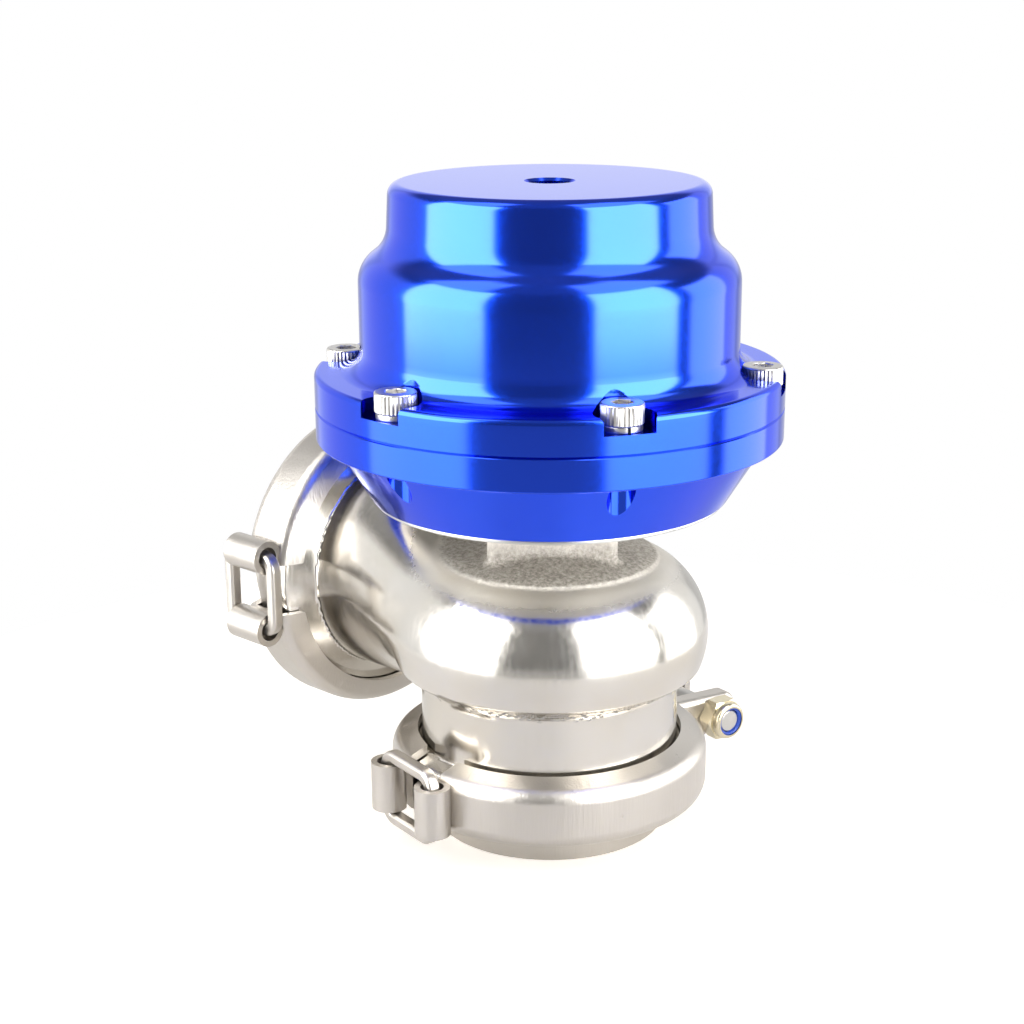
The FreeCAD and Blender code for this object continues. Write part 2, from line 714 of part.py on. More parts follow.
def outlet_placement():
    """Local +z to -X, local +x to +Y, at the outlet joint."""
    turn = FreeCAD.Rotation(FreeCAD.Vector(0, 1, 0), FreeCAD.Vector(0, 0, -1), FreeCAD.Vector(-1, 0, 0), "ZXY")
    return FreeCAD.Placement(FreeCAD.Vector(-OUTLET_JOINT, 0, OUTLET_Z), turn)


def inlet_placement():
    """Local +x to the closure of the inlet clamp, at the inlet joint."""
    return FreeCAD.Placement(point(0, INLET_JOINT_Z), FreeCAD.Rotation(UP, CLOSURE_ANGLE))


def column():
    """Pocketed column under the heat plate: four flats and four posts between them."""
    points = []
    side = math.degrees(math.atan2(POST_HALF, POST_REACH))
    reach = math.hypot(POST_HALF, POST_REACH)
    half = math.degrees(math.atan2(COLUMN_FLAT_HALF, COLUMN_FLAT))
    wide = math.hypot(COLUMN_FLAT_HALF, COLUMN_FLAT)
    for i in range(4):
        post = 90.0 * i
        flat = post + 45.0
        for far, angle in ((reach, post - side), (reach, post + side), (wide, flat - half), (wide, flat + half)):
            turn = math.radians(angle)
            points.append(FreeCAD.Vector(far * math.cos(turn), far * math.sin(turn), BULB_ROOF_Z))
    points.append(points[0])
    return Part.Face(Part.makePolygon(points)).extrude(UP * (BODY_TOP_Z - BULB_ROOF_Z))


def bulb_inside():
    """The hollow of the bulb, and the boss round the guide that stands into it."""
    lower_r = BULB_LOWER_ROUND - BODY_WALL
    open_z = BULB_Z - math.sqrt(lower_r ** 2 - (NECK_BORE_R - BULB_R + BULB_LOWER_ROUND) ** 2)
    lower = bulb_arc(BULB_LOWER_ROUND, BODY_WALL, open_z, BULB_Z)
    upper = bulb_arc(BULB_UPPER_ROUND, BODY_WALL, BULB_Z, BULB_ROOF_Z)
    rest = Part.makePolygon([end_of(upper), point(0, BULB_ROOF_Z), point(0, open_z), end_of(lower, False)])
    cavity = Part.Face(Part.Wire([lower, upper] + rest.Edges)).revolve(ORIGIN, UP, 360)
    boss = cylinder(GUIDE_R + GUIDE_BOSS_WALL, GUIDE_FOOT_Z, BULB_ROOF_Z + PAST)
    return cavity, boss


def valve_body():
    body = bulb_outside().fuse(column())
    body = body.fuse(duct(0.0, OUTLET_R, DUCT_RUN_ON))
    inlet_flange = flange_solid(0.0, NECK_R)
    inlet_flange.translate(point(0, INLET_JOINT_Z))
    body = body.fuse(inlet_flange)
    outlet_flange = flange_solid(0.0, OUTLET_R)
    outlet_flange.rotate(ORIGIN, ALONG_X, 180)
    body = body.fuse(to_outlet(outlet_flange))
    cavity, boss = bulb_inside()
    cavity = cavity.fuse(duct(BODY_WALL, OUTLET_BORE_R, v_half(OUTLET_R) + PAST))
    cavity = cavity.cut(boss)
    cavity = cavity.fuse(cylinder(NECK_BORE_R, INLET_JOINT_Z - PAST, BULB_Z))
    lip_top = SEAT_Z + SEAT_LIP_T + SPIGOT_CLEARANCE
    cavity = cavity.fuse(cylinder(SEAT_LIP_R + SPIGOT_CLEARANCE, INLET_JOINT_Z - PAST, lip_top))
    recess = cylinder(SPIGOT_R + SPIGOT_CLEARANCE, -SPIGOT_H - SPIGOT_CLEARANCE, PAST)
    cavity = cavity.fuse(to_outlet(recess))
    body = body.cut(cavity)
    body = body.cut(cylinder(GUIDE_R + PRESS_CLEARANCE, GUIDE_FOOT_Z - PAST, BODY_TOP_Z + PAST))
    tapped = cylinder(BOLT_R + THREAD_CLEARANCE, BODY_TOP_Z - BOLT_REACH - TAP_RUN_OUT, BODY_TOP_Z + PAST)
    return cut_all(body, ring_of(tapped, BOLT_CIRCLE_R, BOLT_COUNT, 0.0))


def weld_flange(spigot):
    """Weld flange, mating face at z = 0, stub towards +z; its register is a spigot or a recess."""
    shape = turned([
        (WELD_BORE_R, 0),
        (FLANGE_RIM_R, 0),
        (FLANGE_RIM_R, v_half(FLANGE_RIM_R)),
        (WELD_R, v_half(WELD_R)),
        (WELD_R, INLET_JOINT_Z),
        (WELD_BORE_R, INLET_JOINT_Z),
    ])
    if spigot:
        return shape.fuse(tube(SPIGOT_R, WELD_BORE_R, -SPIGOT_H, PAST))
    return shape.cut(cylinder(SEAT_LIP_R + SPIGOT_CLEARANCE, -PAST, SPIGOT_H))


def inlet_weld_flange():
    shape = weld_flange(False)
    shape.rotate(ORIGIN, ALONG_X, 180)
    shape.translate(point(0, INLET_JOINT_Z))
    return shape


def outlet_weld_flange():
    return to_outlet(weld_flange(True))


# The V-band clamp, drawn with its closure towards +x and its hinge towards -x.

def clamp_ring(start):
    """V channel of a clamp half on the +y side, from its ear to its hinge loop."""

    def outside(r):
        return LIP_HALF - (r - LIP_R) * V_SLOPE

    def inside(r):
        return outside(r) - V_THICK

    ring = turned([
        (LIP_R, inside(LIP_R)),
        (LIP_R, outside(LIP_R)),
        (CLAMP_R, outside(CLAMP_R), CLAMP_EDGE_ROUND),
        (CLAMP_R, -outside(CLAMP_R), CLAMP_EDGE_ROUND),
        (LIP_R, -outside(LIP_R)),
        (LIP_R, -inside(LIP_R)),
        (CROWN_IN_R, -inside(CROWN_IN_R)),
        (CROWN_IN_R, inside(CROWN_IN_R)),
    ])
    closure_side = block(0, CUTTER, start, CUTTER, -CUTTER, CUTTER)
    hinge_side = block(-CUTTER, 0, HINGE_GAP, CUTTER, -CUTTER, CUTTER)
    return ring.common(closure_side.fuse(hinge_side))


def clamp_ear(start):
    """Pressed ear: a tapered tray that is open towards the other half."""
    face = start + EAR_DEPTH
    root = math.sqrt(CROWN_IN_R ** 2 - face ** 2) - EAR_OVERLAP

    def outline(inset, tip_round):
        return Part.Face(rounded_wire([
            (root, -EAR_ROOT_HALF + inset),
            (EAR_REACH - inset, -EAR_TIP_HALF + inset, tip_round),
            (EAR_REACH - inset, EAR_TIP_HALF - inset, tip_round),
            (root, EAR_ROOT_HALF - inset),
        ]))

    ear = outline(0.0, EAR_TIP_ROUND).extrude(ALONG_Y * EAR_DEPTH)
    outer_edges = [
        e for e in ear.Edges
        if e.BoundBox.YMin > EAR_DEPTH - EDGE_FUZZ and e.BoundBox.XMax > root + EDGE_FUZZ
    ]
    ear = ear.makeFillet(EAR_EDGE_ROUND, outer_edges)
    hollow = outline(EAR_PLATE_T, EAR_TIP_ROUND - EAR_PLATE_T).extrude(ALONG_Y * (EAR_DEPTH - EAR_PLATE_T))
    ear = ear.cut(hollow)
    ear.translate(ALONG_Y * start)
    hole = Part.makeCylinder(CLAMP_BOLT_R + CLAMP_BOLT_SLACK, 2 * EAR_DEPTH,
                             FreeCAD.Vector(CLAMP_BOLT_AT, start, 0), ALONG_Y)
    return ear.cut(cylinder(CROWN_IN_R, -CUTTER, CUTTER)).cut(hole)


def clamp_half(side):
    """Half of a clamp on the +y or -y side: V channel, ear with bolt hole, hinge loop."""
    start = EAR_B_GAP if side > 0 else EAR_A_GAP
    loop = cylinder(LOOP_R, -LOOP_HALF_H, LOOP_HALF_H, -HINGE_AT, HINGE_HALF)
    loop = loop.cut(cylinder(CROWN_IN_R, -CUTTER, CUTTER))
    half = clamp_ring(start).fuse([clamp_ear(start), loop])
    half = half.cut(cylinder(LOOP_BORE_R, -CUTTER, CUTTER, -HINGE_AT, HINGE_HALF))
    if side < 0:
        half.rotate(ORIGIN, ALONG_X, 180)
    return half


def clamp_link():
    """Closed square-wire link through both loops, lying in the plane x = -HINGE_AT."""
    half_y = HINGE_HALF
    half_z = LOOP_HALF_H + LINK_CLEARANCE + LINK_DEEP / 2

    def frame(grow, bend):
        y = half_y + grow
        z = half_z + grow
        outline = block(-HINGE_AT - LINK_WIDE / 2, -HINGE_AT + LINK_WIDE / 2, -y, y, -z, z)
        corners = [e for e in outline.Edges if e.BoundBox.XLength > LINK_WIDE / 2]
        return outline.makeFillet(bend, corners)

    ring = frame(LINK_DEEP / 2, LINK_BEND_R + LINK_DEEP / 2)
    ring = ring.cut(frame(-LINK_DEEP / 2, LINK_BEND_R - LINK_DEEP / 2))
    rims = [e for e in ring.Edges if e.BoundBox.XLength < 1e-6]
    return ring.makeChamfer(LINK_EDGE, rims)


def along_bolt(shape, y, turned_over):
    """Turn a shape drawn along +z to lie along +y or -y from the plane y."""
    shape.rotate(ORIGIN, ALONG_X, 90 if turned_over else -90)
    shape.translate(FreeCAD.Vector(CLAMP_BOLT_AT, y, 0))
    return shape


def hex_with_chamfer(across_flats, height):
    """Hexagonal prism from z = 0, its corners turned off at the far end."""
    corner_r = across_flats / math.sqrt(3)
    flat_r = across_flats / 2
    slope = (corner_r - flat_r) * math.tan(math.radians(HEX_CHAMFER_ANGLE))
    turned_off = turned([
        (0, 0),
        (corner_r, 0),
        (corner_r, height - slope),
        (flat_r, height),
        (0, height),
    ])
    return hexagon(across_flats, 0, height).common(turned_off)


def clamp_bolt():
    """Hex bolt with its head on the +y ear and its end on the nut side."""
    head_at = EAR_B_GAP + EAR_DEPTH
    nut_end = EAR_A_GAP + EAR_DEPTH + CLAMP_NUT_LIFT + CLAMP_NUT_H
    length = head_at + nut_end - BOLT_END_SHORT
    edge = SCREW_END_EDGE * CLAMP_BOLT_R
    shank = turned([
        (0, PAST),
        (CLAMP_BOLT_R, PAST),
        (CLAMP_BOLT_R, -length + edge),
        (CLAMP_BOLT_R - edge, -length),
        (0, -length),
    ])
    bolt = hex_with_chamfer(CLAMP_BOLT_HEAD_AF, CLAMP_BOLT_HEAD_H).fuse(shank)
    return along_bolt(bolt, head_at, False)


def on_nut_side(shape):
    """Shape drawn from the nut's own base along +z, moved onto the -y ear."""
    return along_bolt(shape, -EAR_A_GAP - EAR_DEPTH - CLAMP_NUT_LIFT, True)


def clamp_nut():
    """Lock nut on the -y ear: hexagon, round collar, hollow for the nylon ring."""
    collar_r = CLAMP_NUT_AF / 2 - CLAMP_NUT_COLLAR_STEP
    collar = turned([
        (0, 0),
        (collar_r, 0),
        (collar_r, CLAMP_NUT_H, CLAMP_NUT_COLLAR_ROUND),
        (0, CLAMP_NUT_H),
    ])
    nut = hex_with_chamfer(CLAMP_NUT_AF, CLAMP_NUT_H - CLAMP_NUT_COLLAR_H).fuse(collar)
    nut = nut.cut(cylinder(CLAMP_BOLT_R + THREAD_CLEARANCE, -PAST, CLAMP_NUT_H + PAST))
    nut = nut.cut(cylinder(CLAMP_BOLT_R + INSERT_T, CLAMP_NUT_H - INSERT_H - INSERT_SINK, CLAMP_NUT_H + PAST))
    return on_nut_side(nut)


def nut_insert():
    """Nylon ring in the nut's collar."""
    top = CLAMP_NUT_H - INSERT_SINK
    ring = tube(CLAMP_BOLT_R + INSERT_T - PRESS_CLEARANCE, CLAMP_BOLT_R + THREAD_CLEARANCE, top - INSERT_H, top)
    return on_nut_side(ring)


def place(shape, placement):
    """Shape moved by a placement."""
    shape.Placement = placement.multiply(shape.Placement)
    return shape


export("top_cover", top_cover())
export("lower_housing", lower_housing())
export("cover_screws", cover_screws())
export("cover_washers", cover_washers())
export("diaphragm", diaphragm())
export("piston_cup", piston_cup())
export("retainer_plate", retainer_plate())
export("outer_spring", coil_spring(OUTER_SPRING_R, OUTER_SPRING_WIRE_R, OUTER_SPRING_TURNS))
export("inner_spring", coil_spring(INNER_SPRING_R, INNER_SPRING_WIRE_R, INNER_SPRING_TURNS))
export("stem_nut", stem_nut())
export("valve", valve())
export("guide_bush", guide_bush())
export("stem_seal", stem_seal())
export("valve_seat", valve_seat())
export("heat_plate", heat_plate())
export("housing_bolts", housing_bolts())
export("valve_body", valve_body())
export("inlet_weld_flange", inlet_weld_flange())
export("outlet_weld_flange", outlet_weld_flange())

for name, placement in (("inlet", inlet_placement()), ("outlet", outlet_placement())):
    export(name + "_clamp_half_a", place(clamp_half(-1), placement))
    export(name + "_clamp_half_b", place(clamp_half(1), placement))
    export(name + "_clamp_link", place(clamp_link(), placement))
    export(name + "_clamp_bolt", place(clamp_bolt(), placement))
    export(name + "_clamp_nut", place(clamp_nut(), placement))
    export(name + "_nut_insert", place(nut_insert(), placement))
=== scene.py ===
"""Looks of a turbo wastegate: a blue diaphragm housing on a cast valve body with two band clamps.

Every piece is a surface in metres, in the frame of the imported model.
"""
import json
import math

import bmesh
import bpy
import numpy as np
from bpy.props import FloatProperty, FloatVectorProperty, IntProperty, PointerProperty
from mathutils import Matrix, Vector


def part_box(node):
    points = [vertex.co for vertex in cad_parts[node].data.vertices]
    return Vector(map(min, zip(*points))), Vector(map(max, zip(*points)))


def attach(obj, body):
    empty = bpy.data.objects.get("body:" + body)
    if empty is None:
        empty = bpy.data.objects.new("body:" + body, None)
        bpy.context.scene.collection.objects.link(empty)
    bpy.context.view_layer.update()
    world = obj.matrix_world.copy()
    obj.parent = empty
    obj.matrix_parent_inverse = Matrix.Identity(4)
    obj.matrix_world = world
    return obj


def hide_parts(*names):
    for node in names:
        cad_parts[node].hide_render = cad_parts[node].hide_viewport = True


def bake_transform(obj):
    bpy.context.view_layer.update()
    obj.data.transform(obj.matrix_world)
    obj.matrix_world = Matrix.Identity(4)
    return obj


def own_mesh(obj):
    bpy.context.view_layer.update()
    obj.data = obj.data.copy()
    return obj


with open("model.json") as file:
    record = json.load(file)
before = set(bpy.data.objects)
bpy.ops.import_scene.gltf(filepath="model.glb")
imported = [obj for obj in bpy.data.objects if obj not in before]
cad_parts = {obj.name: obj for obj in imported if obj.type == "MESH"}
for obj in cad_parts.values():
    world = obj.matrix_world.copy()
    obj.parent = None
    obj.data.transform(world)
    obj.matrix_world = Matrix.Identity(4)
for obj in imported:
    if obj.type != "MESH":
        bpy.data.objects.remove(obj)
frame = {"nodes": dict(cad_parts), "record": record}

bl_info = {
    "name": "Wastegate looks",
    "version": (1, 0, 0),
    "blender": (4, 5, 0),
    "location": "View3D > Sidebar > Wastegate",
    "description": "Finished surfaces and materials for a turbo wastegate",
    "category": "Add Mesh",
}

MM = 0.001
TURN = 2.0 * math.pi
# Points closer than this are merged
SAME_POINT = 1e-7
# Longest straight run on the outline of a turned shell
LONGEST_RUN = 1.2 * MM
# Directions round the axis in which the turned shells have points
SHELL_STEPS = 288
# Angles over which an edge stays sharp, or gets a bevel
SHARP, COIL_SHARP, NUT_SHARP, BEVEL_OVER = 32.0, 50.0, 28.0, 35.0

COVER_LOW, COVER_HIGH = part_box("top_cover")
HOUSING_LOW, HOUSING_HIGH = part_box("lower_housing")
PLATE_LOW, PLATE_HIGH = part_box("heat_plate")
BODY_LOW, BODY_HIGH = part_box("valve_body")
OUTLET_LOW, OUTLET_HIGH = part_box("outlet_weld_flange")
WASHERS_LOW, WASHERS_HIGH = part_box("cover_washers")
SPRING_LOW, SPRING_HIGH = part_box("outer_spring")
SCREWS_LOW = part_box("cover_screws")[0]
OUTLET_JOINT_X = BODY_LOW.x
OUTLET_AXIS_Z = (OUTLET_LOW.z + OUTLET_HIGH.z) / 2
INLET_JOINT_Z = BODY_LOW.z


def length(name, description, millimetres):
    """A size in metres, written in millimetres."""
    return FloatProperty(
        name=name, description=description, default=millimetres * MM, unit="LENGTH", precision=5
    )


def angle(name, description, degrees):
    """An angle, written in degrees."""
    return FloatProperty(name=name, description=description, default=math.radians(degrees), subtype="ANGLE")


def number(name, description, value):
    """A plain number."""
    return FloatProperty(name=name, description=description, default=value)


def linear(code):
    """Linear red, green and blue of an sRGB hex colour."""
    channels = np.array([int(code[i:i + 2], 16) / 255.0 for i in (0, 2, 4)])
    low = channels / 12.92
    high = ((channels + 0.055) / 1.055) ** 2.4
    return tuple(float(c) for c in np.where(channels <= 0.04045, low, high))


def colour(name, description, code):
    """A colour, written as an sRGB hex value."""
    return FloatVectorProperty(
        name=name, description=description, default=linear(code), size=3, min=0.0, max=1.0, subtype="COLOR"
    )


class CoverSizes(bpy.types.PropertyGroup):
    """Outline of the spring cover."""

    low_r: length("Lower dome radius", "Radius of the dome below its step", 35.44)
    high_r: length("Upper dome radius", "Radius of the dome above its step", 30.16)
    top_r: length("Top face radius", "Radius of the corner between wall and top face", 29.6)
    step_drop: length("Step drop", "From the top face down to the middle of the step", 12.95)
    step_angle: angle("Step angle", "Slope of the step", 53.4)
    step_round: length("Step round", "Radius of both bends of the step", 6.3)
    edge_round: length("Edge round", "Radius round the top face", 2.2)
    foot_round: length("Foot round", "Radius between dome and flange", 4.0)
    flange_t: length("Flange thickness", "Height of the flange", 6.6)
    rim_round: length("Rim round", "Radius on the flange's upper edge", 1.0)
    rim_chamfer: length("Rim chamfer", "Chamfer along the seam", 0.3)
    wall: length("Wall", "Thickness of the dome", 3.24)
    roof_t: length("Roof thickness", "Thickness under the top face", 6.2)
    port_r: length("Port radius", "Crest radius of the port's thread", 4.25)
    port_mouth: length("Port mouth", "Chamfer of the port", 0.52)
    thread_pitch: length("Thread pitch", "Pitch of the port's thread", 0.94)
    thread_depth: length("Thread depth", "Depth of the port's thread", 0.5)


class HousingSizes(bpy.types.PropertyGroup):
    """Outline of the lower diaphragm housing."""

    foot_r: length("Foot radius", "Radius of the cone at the heat plate", 34.0)
    cone_step: length("Flange overhang", "Flange radius less cone radius", 2.9)
    flange_t: length("Flange thickness", "Height of the flange", 6.1)
    chamber_r: length("Chamber radius", "Radius of the air chamber", 31.8)
    floor_t: length("Floor thickness", "Floor of the air chamber", 4.0)
    scallop_r: length("Scallop radius", "Radius of the grooves below the screws", 2.5)
    rim_round: length("Rim round", "Radius on the flange's lower edge", 0.35)
    side_port_z: length("Side port height", "Height of the side port's axis", 74.2)
    side_port_r: length("Side port radius", "Radius of the side port", 4.25)
    side_face_r: length("Spot face radius", "Radius of the flat round the side port", 4.9)
    side_face_at: length("Spot face", "Distance of the flat from the main axis", 37.6)
    side_port_angle: angle("Side port angle", "Direction of the side port", 120.0)


class FastenerSizes(bpy.types.PropertyGroup):
    """Cover screws and their washers."""

    count: IntProperty(name="Count", description="Number of cover screws", default=6)
    first_angle: angle("First angle", "Direction of the first screw", -30.0)
    circle_r: length("Screw circle", "Radius of the screws' circle", 39.8)
    notch_r: length("Notch radius", "Radius of the notch round each screw", 5.45)
    notch_circle_r: length("Notch circle", "Radius of the circle of the notches", 41.0)
    shank_r: length("Shank radius", "Radius of a screw's shank", 1.95)
    head_r: length("Head radius", "Radius of a screw head over its knurl", 3.8)
    head_h: length("Head height", "Height of a screw head", 3.7)
    head_round: length("Head round", "Radius on the upper edge of a head", 0.34)
    knurl_depth: length("Knurl depth", "Depth of the grooves round a head", 0.14)
    knurls: IntProperty(name="Knurls", description="Number of grooves round a head", default=34)
    socket_af: length("Socket", "Width across the socket's flats", 3.5)
    socket_depth: length("Socket depth", "Depth of the socket", 2.2)
    washer_r: length("Washer radius", "Outer radius of a spring washer", 3.55)
    washer_split: length("Washer split", "Gap in a spring washer", 0.6)


class BodySizes(bpy.types.PropertyGroup):
    """Outline of the cast valve body."""

    neck_r: length("Neck radius", "Outer radius of the inlet neck", 25.1)
    neck_bore_r: length("Neck bore", "Bore of the inlet neck", 23.0)
    bulb_r: length("Bulb radius", "Largest radius of the bulb", 30.86)
    bulb_z: length("Bulb height", "Height of the bulb's largest radius", 39.06)
    upper_round: length("Upper round", "Radius of the bulb's meridian above", 15.6)
    lower_round: length("Lower round", "Radius of the bulb's meridian below", 17.7)
    edge_drop: length("Edge drop", "From the largest radius down to the bulb's lower edge", 6.96)
    edge_round: length("Edge round", "Round of the bulb's lower edge", 0.9)
    wall: length("Wall", "Thickness of the casting", 3.0)
    shoulder_r: length("Shoulder radius", "Where the cone under the column starts", 20.5)
    shoulder_rise: length("Shoulder rise", "Height of that cone", 3.3)
    column_flat: length("Column flat", "Distance of the column's flats from the axis", 11.0)
    column_flat_half: length("Half flat", "Half width of a flat", 6.3)
    post_reach: length("Post reach", "Distance of the posts' faces from the axis", 16.5)
    post_half: length("Half post", "Half width of a post's face", 0.9)
    outlet_r: length("Outlet radius", "Outer radius of the outlet pipe", 21.9)
    outlet_bore_r: length("Outlet bore", "Bore of the outlet pipe", 19.2)
    duct_sink: length("Pipe sink", "How far the pipe's root lies under the bulb", 0.8)
    pipe_blend: length("Pipe blend", "Width of the blend between bulb and pipe", 2.6)
    pipe_bend: number("Pipe bend", "Fullness of the pipe's root below", 1.3)
    neck_blend: length("Neck blend", "Fillet between neck and pipe", 3.2)
    cast_blend: length("Cast blend", "Fillet between the column's faces", 1.3)
    flange_rim_r: length("Flange radius", "Outer radius of a band flange", 28.3)
    flange_edge: length("Flange edge", "Round on the edge of a band flange", 0.4)
    guide_r: length("Guide radius", "Bore for the valve guide", 6.53)
    boss_r: length("Boss radius", "Boss round the valve guide", 9.0)
    boss_z: length("Boss height", "Lower face of the boss", 46.0)
    grid: length("Grid", "Spacing of the casting's surface points", 0.68)
    fine_grid: length("Fine grid", "Spacing of the layers at the bulb's lower crease", 0.42)
    fine_low: length("Fine from", "Where the finer layers start", 22.0)
    fine_high: length("Fine to", "Where the finer layers end", 31.0)


class ClampSizes(bpy.types.PropertyGroup):
    """V-band joints; half widths are measured from the mating plane."""

    closure: angle("Closure", "Direction of the inlet clamp's closure", 79.0)
    v_angle: angle("V angle", "Slope of the clamp's flanks", 20.0)
    lip_r: length("Lip radius", "Radius of the clamp's lips", 26.0)
    lip_half: length("Half width", "Half width of the clamp over its lips", 6.9)
    crown_r: length("Crown radius", "Outer radius of the clamp", 31.0)
    crown_round: length("Crown round", "Radius between crown and flank", 3.0)
    sheet_t: length("Sheet", "Thickness of the clamp's sheet", 1.6)
    v_clearance: length("Clearance", "Gap between clamp and flange flanks", 0.3)
    edge_bevel: length("Edge bevel", "Broken edges of the pressed sheet", 0.22)
    bolt_at: length("Bolt distance", "Distance of the clamp bolt from the joint's axis", 40.5)
    bolt_r: length("Bolt radius", "Crest radius of the clamp bolt", 2.45)
    nut_face: length("Nut face", "Distance of the nut's base from the closure plane", 3.95)
    nut_af: length("Nut width", "Width across the nut's flats", 8.0)
    nut_h: length("Nut height", "Height of the nut with its collar", 5.0)
    nut_hex_h: length("Hexagon height", "Height of the nut's hexagon", 3.3)
    collar_r: length("Collar radius", "Radius of the nut's collar", 3.85)
    ring_r: length("Ring radius", "Outer radius of the nylon ring", 3.1)
    ring_h: length("Ring height", "Height of the nylon ring", 1.3)
    ring_sink: length("Ring sink", "How far the nylon ring lies below the nut's top", 0.2)
    collar_round: length("Collar round", "Radius on the collar's upper edge", 0.9)
    nut_chamfer: angle("Nut chamfer", "Slope of the chamfer on the hexagon's corners", 30.0)


class SpringSizes(bpy.types.PropertyGroup):
    """Coils under the cover."""

    outer_r: length("Outer coil radius", "Mean radius of the outer spring", 22.4)
    outer_wire: length("Outer wire radius", "Radius of the outer spring's wire", 1.78)
    outer_turns: number("Outer turns", "Turns of the outer spring", 5.0)
    inner_r: length("Inner coil radius", "Mean radius of the inner spring", 14.0)
    inner_wire: length("Inner wire radius", "Radius of the inner spring's wire", 1.28)
    inner_turns: number("Inner turns", "Turns of the inner spring", 6.0)
    lift: length("Valve lift", "Travel that shortens the springs", 10.0)
    bead_t: length("Bead height", "How far the diaphragm's bead reaches below the seam", 1.2)
    cloth_t: length("Cloth thickness", "Thickness of the diaphragm's flat middle", 1.0)


class Finishes(bpy.types.PropertyGroup):
    """Colours of the finishes."""

    anodised: colour("Anodised blue", "Dyed anodised aluminium", "0A47DE")
    anodised_deep: colour("Deep anodised blue", "The dye where it lies thicker", "0740D8")
    plated: colour("Plated steel", "Zinc-nickel plated screws", "BAB8B4")
    polished: colour("Polished stainless", "Ground and polished casting", "CFCCC7")
    polished_warm: colour("Heat tint", "Faint straw tint of the casting", "C9C3B8")
    cast: colour("Cast skin", "Casting as it left the shell mould", "B4AFA6")
    cast_pits: colour("Cast pits", "Darker grain in the cast skin", "6A645C")
    # Paler colour of the cast skin higher up the column, towards the plate
    cast_face: colour("Cast face", "Cast skin wiped clean by handling", "DAD5CE")
    satin: colour("Satin stainless", "Pressed and brushed sheet", "BFBAB3")
    sheet: colour("Bright sheet", "Stamped heat plate", "BDBDBB")
    wire: colour("Spring wire", "Oil-tempered wire", "77777C")
    ground: colour("Valve steel", "Ground heat-resisting steel", "B0ADA8")
    bronze: colour("Bronze", "Machined bronze", "CDA868")
    rubber: colour("Diaphragm", "Fabric-reinforced silicone", "2A2A2D")
    ptfe: colour("Seal", "Filled seal compound", "5C5148")
    turned: colour("Turned aluminium", "Bare turned aluminium", "CFD0D2")
    nut: colour("Nut", "Yellowish passivated steel", "D2C9B0")
    nylon: colour("Nylon", "Moulded blue nylon ring", "2E57C8")


class StageSettings(bpy.types.PropertyGroup):
    """Camera, floor and lights."""

    camera_at: FloatVectorProperty(
        name="Camera", description="Place of the camera", size=3, subtype="TRANSLATION", unit="LENGTH",
        default=(238.5 * MM, -264.9 * MM, 166.97 * MM),
    )
    heading: angle("Heading", "Direction of view, from +X", 133.15)
    pitch: angle("Pitch", "How far the camera looks down", 16.39)
    roll: angle("Roll", "Roll of the camera", -0.281)
    lens: number("Lens", "Focal length in millimetres", 68.12)
    floor_r: length("Floor radius", "Radius of the round pale floor", 170.0)
    room: number("Room light", "Brightness of the white backdrop", 1.0)
    lamp: number("Lamps", "Brightness of the lamps for matt surfaces", 0.6)
    tent_r: length("Tent radius", "Distance of the light tent", 420.0)
    box_light: number("Soft box", "Brightness of the tent's soft boxes", 10.0)
    tent_dim: number("Gap", "Brightness of the tent's dark gaps", 0.28)
    tent_ceiling: number("Ceiling", "Brightness of the tent's top", 0.42)
    tent_wall: number("Side", "Brightness of the tent's sides", 1.15)
    tent_screen: number("Screen", "Brightness of the tent's right screen", 3.5)
    tent_back: number("Back", "Brightness of the tent behind the object", 1.1)
    floor_lift: number("Floor lift", "Light of the floor itself", 0.6)
    floor_gloss: number("Floor in reflections", "Floor's own light in metal", 0.28)
    floor_warm: colour("Floor reflection", "Tint of the floor in reflections", "FFF8EE")


def settings(name):
    """The named property group of the scene."""
    return getattr(bpy.context.scene, "wastegate_" + name)


# Outlines and surfaces

def arc(centre, radius, start, stop, count):
    """Points centre + radius * (cos t, sin t), for t from start to stop."""
    t = np.linspace(start, stop, count)
    return np.stack([centre[0] + radius * np.cos(t), centre[1] + radius * np.sin(t)], axis=1)


def rounded(corners, closed=False, steps=8, fill=None):
    """Outline through (u, v) or (u, v, round) corners; each round is an arc tangent to both sides.

    Straight runs longer than fill are divided evenly.
    """
    places = np.array([c[:2] for c in corners], dtype=float)
    pieces = []
    for i, corner in enumerate(corners):
        size = corner[2] if len(corner) > 2 else 0.0
        here = places[i]
        if size <= 0.0 or (not closed and i in (0, len(corners) - 1)):
            pieces.append(here[None, :])
            continue
        back = places[i - 1] - here
        ahead = places[(i + 1) % len(corners)] - here
        back = back / np.linalg.norm(back)
        ahead = ahead / np.linalg.norm(ahead)
        half = math.acos(float(np.clip(back @ ahead, -1.0, 1.0))) / 2
        middle = back + ahead
        centre = here + middle / np.linalg.norm(middle) * size / math.sin(half)
        first = here + back * size / math.tan(half) - centre
        last = here + ahead * size / math.tan(half) - centre
        start = math.atan2(first[1], first[0])
        sweep = (math.atan2(last[1], last[0]) - start + math.pi) % TURN - math.pi
        pieces.append(arc(centre, size, start, start + sweep, steps))
    outline = np.concatenate(pieces)
    if fill is None:
        return outline
    ends = np.roll(outline, -1, axis=0) if closed else outline[1:]
    starts = outline if closed else outline[:-1]
    filled = []
    for a, b in zip(starts, ends):
        count = max(1, int(np.linalg.norm(b - a) / fill))
        filled.append(a + (b - a) * (np.arange(count) / count)[:, None])
    if not closed:
        filled.append(outline[-1:])
    return np.concatenate(filled)


def directions(count):
    """A row of evenly spread directions round the axis."""
    return (np.arange(count) * TURN / count)[None, :]


